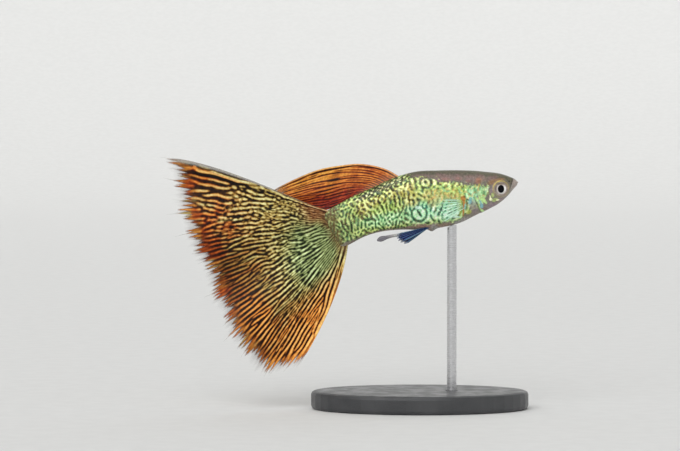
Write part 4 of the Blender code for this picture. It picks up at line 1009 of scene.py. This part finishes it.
def dorsalPlace(u, v):
    # A patch between four edges: the sum of both ruled sheets less the sheet of the corners.
    base, front, last, end = (np.array(dorsal[k]) for k in ("base", "front", "last", "end"))
    fringe = unit((v - 0.88) / 0.12) * (teeth(dorsal["rays"], u) - 0.4) * dorsal["fringe"]
    far = v + fringe / np.linalg.norm(front[-1] - front[0])
    onBase, onEnd = curveThrough(base, u), curveThrough(end, u)
    onFront, onLast = curveThrough(front, far), curveThrough(last, far)
    a, b = u[..., None], far[..., None]
    corners = (1 - a) * (1 - b) * base[0] + a * (1 - b) * base[-1] + (1 - a) * b * end[0] + a * b * end[-1]
    flat = (1 - b) * onBase + b * onEnd + (1 - a) * onFront + a * onLast - corners
    out = np.linalg.norm(flat - onBase, axis=-1)
    down = unitLong(onEnd - onBase) + np.array((0.0, 1.0))
    flat = flat - down * dorsal["sunk"] * unit(1 - v * 12)[..., None]
    lean = dorsal["lean"] * out * np.exp(-out / 30)
    wave = dorsal["wave"] * np.sin(2 * np.pi * 1.4 * u + 0.4) * v**1.5
    return np.stack([flat[..., 0], lean + wave + sway(flat[..., 0]), flat[..., 1]], axis=-1)


def buildDorsal():
    # A sheet with lace grown on it laid flat: columns along the rays, rows across them.
    u, v = sheetGrid(dorsal["across"], dorsal["along"])
    shape = (dorsal["laceRows"], dorsal["laceColumns"])
    direction = np.radians(4) * softNoise(shape, 40, 2)
    wave = 6.4 + 1.6 * rise(0.1, 0.7, np.linspace(0, 1, shape[1])) + 1.2 * softNoise(shape, 30, 3)
    order = np.clip(0.90 + 0.10 * softNoise(shape, 30, 4), 0.4, 0.99)
    bias = 0.50 + 0.24 * softNoise(shape, 20, 5)
    lace = growLace(direction, wave, order, bias, dorsal["seed"], steps=4, gain=1.8, band=0.8, fan=0.10)
    lace = soften(lace, 0.5)
    fields = (lace / lace.std(), softNoise(shape, 30, 6), softNoise(shape, 3.5, 7))
    lace, patch, grain = (readField(field, v * (shape[1] - 1), u * (shape[0] - 1)) for field in fields)
    lace = unit((lace + 0.12 * grain + 0.25 * patch + 1.8) / 3.6)
    lace = unit(lace + 0.6 * hill(u - 0.010, 0.016) - 0.8 * hill(u - 0.050, 0.014))
    edge = rise(0.90, 1.0, v + 0.03 * grain)
    values = {"lace": lace, "amber": rise(0.55, 0.10, u + 0.10 * patch) * rise(0.25, 0.6, v),
              "crimson": rise(0.40, 0.80, u + 0.07 * patch) * rise(1.0, 0.55, v * 0.9),
              "gilt": hill(u, 0.02) + 0.5 * rise(0.12, 0.0, v), "smoke": edge,
              "solid": np.clip(1 - edge * (0.75 - 0.5 * lace), 0.08, 1)}
    half = thinning(dorsal, v, 2, teeth(dorsal["rays"], u), 0.8)
    makeSheet("dorsal_fin", dorsalPlace(u, v), half, u, v, membraneMaterial("dorsalMembrane", dorsalLooks),
              values)


# The small fins
smallFins = {
    "pectoral": {"length": 3.7, "rays": 7, "angles": (10.0, -26.0), "shares": (0.75, 1.0, 0.10),
                 "across": 110, "along": 60, "half": (0.12, 0.03), "rayHeight": 0.035, "fringe": 0.4,
                 "seat": (6.95, 1.95), "root": 1.9, "spreadOut": 27.0},
    "pelvic": {"length": 5.2, "rays": 5, "angles": (10.0, -26.0), "shares": (1.0, 0.62, 0.05), "across": 70,
               "along": 70, "half": (0.14, 0.03), "rayHeight": 0.05, "fringe": 0.4,
               "seat": (1.05, 0.86, 29.95), "root": 1.1},
}


def fanGrid(size, root, up, back, sign):
    # Rays from a short root line, each turned from back towards up by its angle and curling out.
    u, v = sheetGrid(size["across"], size["along"])
    start, end = size["angles"]
    angle = np.radians(start + (end - start) * u)
    first, last, extra = (share * size["length"] for share in size["shares"])
    tooth = teeth(size["rays"], u)
    reach = (first + (last - first) * u + extra * np.sin(np.pi * u)) * v
    reach = reach + size["fringe"] * (tooth - 0.5) * unit((v - 0.85) / 0.15) - 0.7 * (1 - v) ** 3
    ahead = np.cos(angle)[..., None] * back + np.sin(angle)[..., None] * unitLong(up)
    places = root + (0.5 - u)[..., None] * up + reach[..., None] * ahead
    places[..., 1] += sign * v**1.6 * first * 0.12
    return places, thinning(size, v, 1.5, tooth, 0.7), tooth, u, v


def clearMaterial(name, ray, web, edgeColour, webSolid):
    # Solid where the rays and the edge are, clearer on the web between, fading to the tips.
    material, tree, shader = newMaterial(name, roughness=0.45, specular=0.15)
    colour = blend(tree, mask(tree, "ray"), web, ray)
    colour = blend(tree, mask(tree, "edge", 0.85), colour, edgeColour)
    colour, grain = grained(tree, colour, 4200.0, 0.35, (40, 50, 60))
    solid = remap(tree, mask(tree, "ray"), 0.0, 1.0, webSolid, 0.85)
    solid = times(tree, calc(tree, "MAXIMUM", solid, mask(tree, "edge", 0.8)), mask(tree, "fade"))
    feed(tree, shader.inputs, {"Base Color": colour, "Alpha": solid})
    addBumps(tree, shader, calc(tree, "ADD", grain, mask(tree, "ray")), 0.00002)
    return material


def buildSmallFins():
    # Pectoral fins from the flanks, spread outwards, and pelvic fins below, on both sides.
    pectoral, pelvic = smallFins["pectoral"], smallFins["pelvic"]
    glass = clearMaterial("pectoralMembrane", (740, 1000, 800), (360, 680, 480), (30, 70, 60), 0.10)
    blue = clearMaterial("pelvicMembrane", (90, 200, 420), (4, 6, 55), (260, 500, 620), 0.90)
    spread = np.radians(pectoral["spreadOut"])
    station, angle = pectoral["seat"]
    for side, sign in (("left", 1), ("right", -1)):
        root, outward = bodySurface(station, sign * angle)
        root = root + outward * headRelief(root[0], root[2]) * np.abs(np.sin(angle)) ** 0.5
        root[1] += sway(root[0])
        up = np.array((-0.12, 0.0, 1.0)) * pectoral["root"]
        back = np.array((-np.cos(spread), sign * np.sin(spread), -0.10))
        places, half, tooth, u, v = fanGrid(pectoral, root, up, back, sign)
        uneven = 0.5 + 0.5 * np.sin(29.0 * u + 0.7) * np.sin(4.0 * v + 9.0 * u)
        edge = 0.5 * hill(u - 0.02, 0.025) * rise(0.1, 0.3, v) + hill(v - 0.955, 0.035) * rise(0.15, 0.45, u)
        values = {"ray": rise(0.30, 0.95, tooth) * (0.35 + 0.65 * uneven), "edge": unit(edge),
                  "fade": rise(1.02, 0.8, v) * 0.8 + 0.2}
        makeSheet(f"pectoral_fin_{side}", places, half, u, v, glass, values)
        root = np.array(pelvic["seat"]) * (1, sign, 1)
        up = np.array((0.75, -sign * 0.05, -0.10)) * pelvic["root"]
        back = np.array((-0.89 + 0.03 * sign, sign * 0.17, -0.43 - 0.07 * sign))
        places, half, tooth, u, v = fanGrid(pelvic, root, up, back, sign)
        values = {"ray": rise(0.80, 1.0, tooth) * 0.9, "fade": rise(1.02, 0.85, v) * 0.6 + 0.4,
                  "edge": unit(0.6 * hill(u - 0.03, 0.03) + hill(u - 0.95, 0.035))}
        makeSheet(f"pelvic_fin_{side}", places, half, u, v, blue, values)


gonopodium = {"line": ((0.10, 30.35), (-0.15, 29.55), (-0.85, 29.02), (-2.4, 28.86), (-4.3, 28.66),
                       (-6.0, 28.24), (-7.1, 27.86)),
              "radius": 0.30, "rings": 130, "sides": 40, "segments": 42, "rays": 6}


def buildGonopodium():
    # A tapering rod along the belly: segmented rays side by side, and a flat hood near its tip.
    share = np.linspace(0, 1, gonopodium["rings"])[:, None]
    angle = circle(gonopodium["sides"])
    middle = curveThrough(gonopodium["line"], share[:, 0])
    ahead = unitLong(np.gradient(middle, axis=0))
    up = np.stack([-ahead[:, 1], ahead[:, 0]], axis=1)
    up = up * np.sign(up[:, 1:2] + 1e-9)
    hood = hill(share - 0.88, 0.09)
    close = np.where(share > 0.93, np.sqrt(np.clip(1 - ((share - 0.93) / 0.071) ** 2, 0.02, 1)), 1.0)
    segments = 0.5 + 0.5 * np.sin(share * 2 * np.pi * gonopodium["segments"])
    groove = 0.5 + 0.5 * np.cos(angle * gonopodium["rays"])
    thick = gonopodium["radius"] * close * (1 - 0.07 * groove - 0.03 * segments * rise(0.25, 0.4, share))
    tall = thick * (1.15 - 0.35 * share) * (1 + 0.9 * hood) * np.cos(angle)
    wide = thick * (1.15 - 0.40 * share) * (1 - 0.15 * hood) * np.sin(angle)
    x, z = (middle[:, k:k + 1] + up[:, k:k + 1] * tall for k in (0, 1))
    values = {"tip": rise(0.62, 0.80, share), "pale": hill(share - 0.45, 0.22), "joint": segments,
              "groove": groove}
    values = {label: field * np.ones_like(x) for label, field in values.items()}
    material, tree, shader = newMaterial("gonopodiumSkin", roughness=0.32, coat=0.3)
    colour = paint(tree, (300, 270, 240), (
        ("pale", 0.9, (740, 800, 780)), ("tip", 0.85, (60, 60, 100)), ("groove", 0.35, (240, 220, 220)),
        ("joint", 0.15, (300, 270, 250))))
    colour, grain = grained(tree, colour, 5200.0, 0.3, (40, 40, 50), cellAmount=0.4)
    feed(tree, shader.inputs, {"Base Color": colour})
    addBumps(tree, shader, grain, 0.00002)
    rod = np.stack([x, wide + sway(x), z], axis=-1)
    makeTube("gonopodium", rod, material, ("gonopodium",), values)


# The stand's own solids, finished
def finishStand():
    satin, tree, shader = newMaterial("satinBase", coat=0.15)
    colour, grain = grained(tree, (30, 31, 34), 5200.0, 0.35)
    cloud = remap(tree, noise(tree, 160.0, 4.0), 0.35, 0.65)
    feed(tree, shader.inputs, {"Base Color": blend(tree, cloud, colour, (44, 45, 48)),
                               "Roughness": remap(tree, noise(tree, 420.0, 5.0), 0.35, 0.65, 0.36, 0.52)})
    addBumps(tree, shader, grain, 0.000015)
    steel, tree, shader = newMaterial("brushedRod", metallic=1.0)
    place = addNode(tree, "Mapping", {"Scale": (1.0, 1.0, 26.0), "Vector": objectPlace(tree)})
    rings = noise(tree, 620.0, 4.0, place.outputs[0])
    colour = grained(tree, blend(tree, rings, (580, 580, 600), (680, 680, 690)), 3000.0, 0.08)[0]
    feed(tree, shader.inputs, {"Base Color": colour, "Roughness": remap(tree, rings, 0.3, 0.7, 0.22, 0.38)})
    addBumps(tree, shader, rings, 0.00001)
    for name, finish in (("stand_base", satin), ("stand_rod", steel)):
        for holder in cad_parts[name].material_slots:
            holder.material = finish


# Floor, lights and camera
studio = {"floorRadius": 1.2, "wallRadius": 2.0, "wallHeight": 2.6, "sides": 96,
          "floorColour": (720, 720, 710), "centre": (-13.2, -0.6, 30.35), "lens": 160.0, "sensor": 36.0,
          "distance": 498.7, "elevation": 2.0, "nearest": 0.01,
          "air": (950, 970, 1000), "airStrength": 0.2,
          # name, where the light comes from, how wide it looks in degrees, strength
          "lights": (("key", (-0.3, -0.75, 0.65), 50, 1.9), ("fill", (0.55, -0.8, 0.2), 80, 0.7),
                     ("top", (0.0, 0.15, 1.0), 70, 0.5), ("back", (0.25, 0.8, 0.45), 60, 0.5))}


def buildStudio():
    # The floor is a disc that curves up into a wall: the profile (radius, height) turned about z.
    scene, sides = bpy.context.scene, studio["sides"]
    bend = np.linspace(0, np.pi / 2, 24)
    flat = np.linspace(0.001, studio["floorRadius"], 30, endpoint=False)
    corner = studio["wallRadius"] - studio["floorRadius"]
    radius = np.concatenate([flat, studio["floorRadius"] + corner * np.sin(bend), [studio["wallRadius"]]])
    height = np.concatenate([0 * flat, corner * (1 - np.cos(bend)), [studio["wallHeight"]]])
    angle = circle(sides)
    points = np.stack([np.outer(radius, np.cos(angle)), np.outer(radius, np.sin(angle)),
                       np.outer(height, np.ones(sides))], axis=-1)
    faces = gridFaces(len(radius), sides, True).tolist() + [tuple(range(sides))]
    mesh = bpy.data.meshes.new("floor")
    mesh.from_pydata(points.reshape(-1, 3), [], faces)
    mesh.shade_smooth()
    material, tree, shader = newMaterial("paleFloor", roughness=0.8, specular=0.2)
    feed(tree, shader.inputs, {"Base Color": grained(tree, studio["floorColour"], 300.0, 0.03)[0]})
    mesh.materials.append(material)
    floor = addObject("floor", mesh)
    floor.visible_shadow = False

    world = bpy.data.worlds.new("studioAir")
    world.use_nodes = True
    tree = world.node_tree
    feed(tree, tree.nodes["Background"].inputs, {0: studio["air"], 1: studio["airStrength"]})
    scene.world = world
    for name, place, wide, strength in studio["lights"]:
        data = bpy.data.lights.new(name, "SUN")
        data.angle, data.energy = np.radians(wide), strength
        lamp = addObject(name, data)
        lamp.location = place
        lamp.rotation_euler = (-Vector(place)).to_track_quat("-Z", "Y").to_euler()

    data = bpy.data.cameras.new("camera")
    data.lens, data.sensor_width, data.clip_start = studio["lens"], studio["sensor"], studio["nearest"]
    camera = addObject("camera", data)
    tilt = np.radians(studio["elevation"])
    away = Vector((0, -np.cos(tilt), np.sin(tilt))) * studio["distance"] * mm
    camera.location = Vector(studio["centre"]) * mm + away
    camera.rotation_euler = (np.pi / 2 - tilt, 0, 0)
    scene.camera = camera
    scene.view_settings.view_transform = "Standard"


buildStudio()
print("studio ready")
buildSkin()
eyeFinish = eyeMaterial()
buildEye("eye_left", 1, eyeFinish)
buildEye("eye_right", -1, eyeFinish)
print("head and body ready")
buildTail()
threadU, threadReach = (row[::3] for row in tailStrands()[:2])
threadLength = 1.2 + 1.6 * threadReach + 2.2 * hill(threadU, 0.25) * threadReach
buildStreamers("tailStreamers", tailPlace, threadU, 0.84 + 0.11 * threadReach, threadLength, 31,
               streamerMaterial("tailThread", (520, 240, 70)))
buildDorsal()
threadU = (np.arange(dorsal["threads"]) + 0.5) / dorsal["threads"]
buildStreamers("dorsalStreamers", dorsalPlace, threadU, np.full(len(threadU), 0.94),
               0.7 + 0.5 * np.sin(threadU * 40), 32,
               streamerMaterial("dorsalThread", (550, 220, 50)))
buildSmallFins()
buildGonopodium()
finishStand()
print("fins and stand ready")
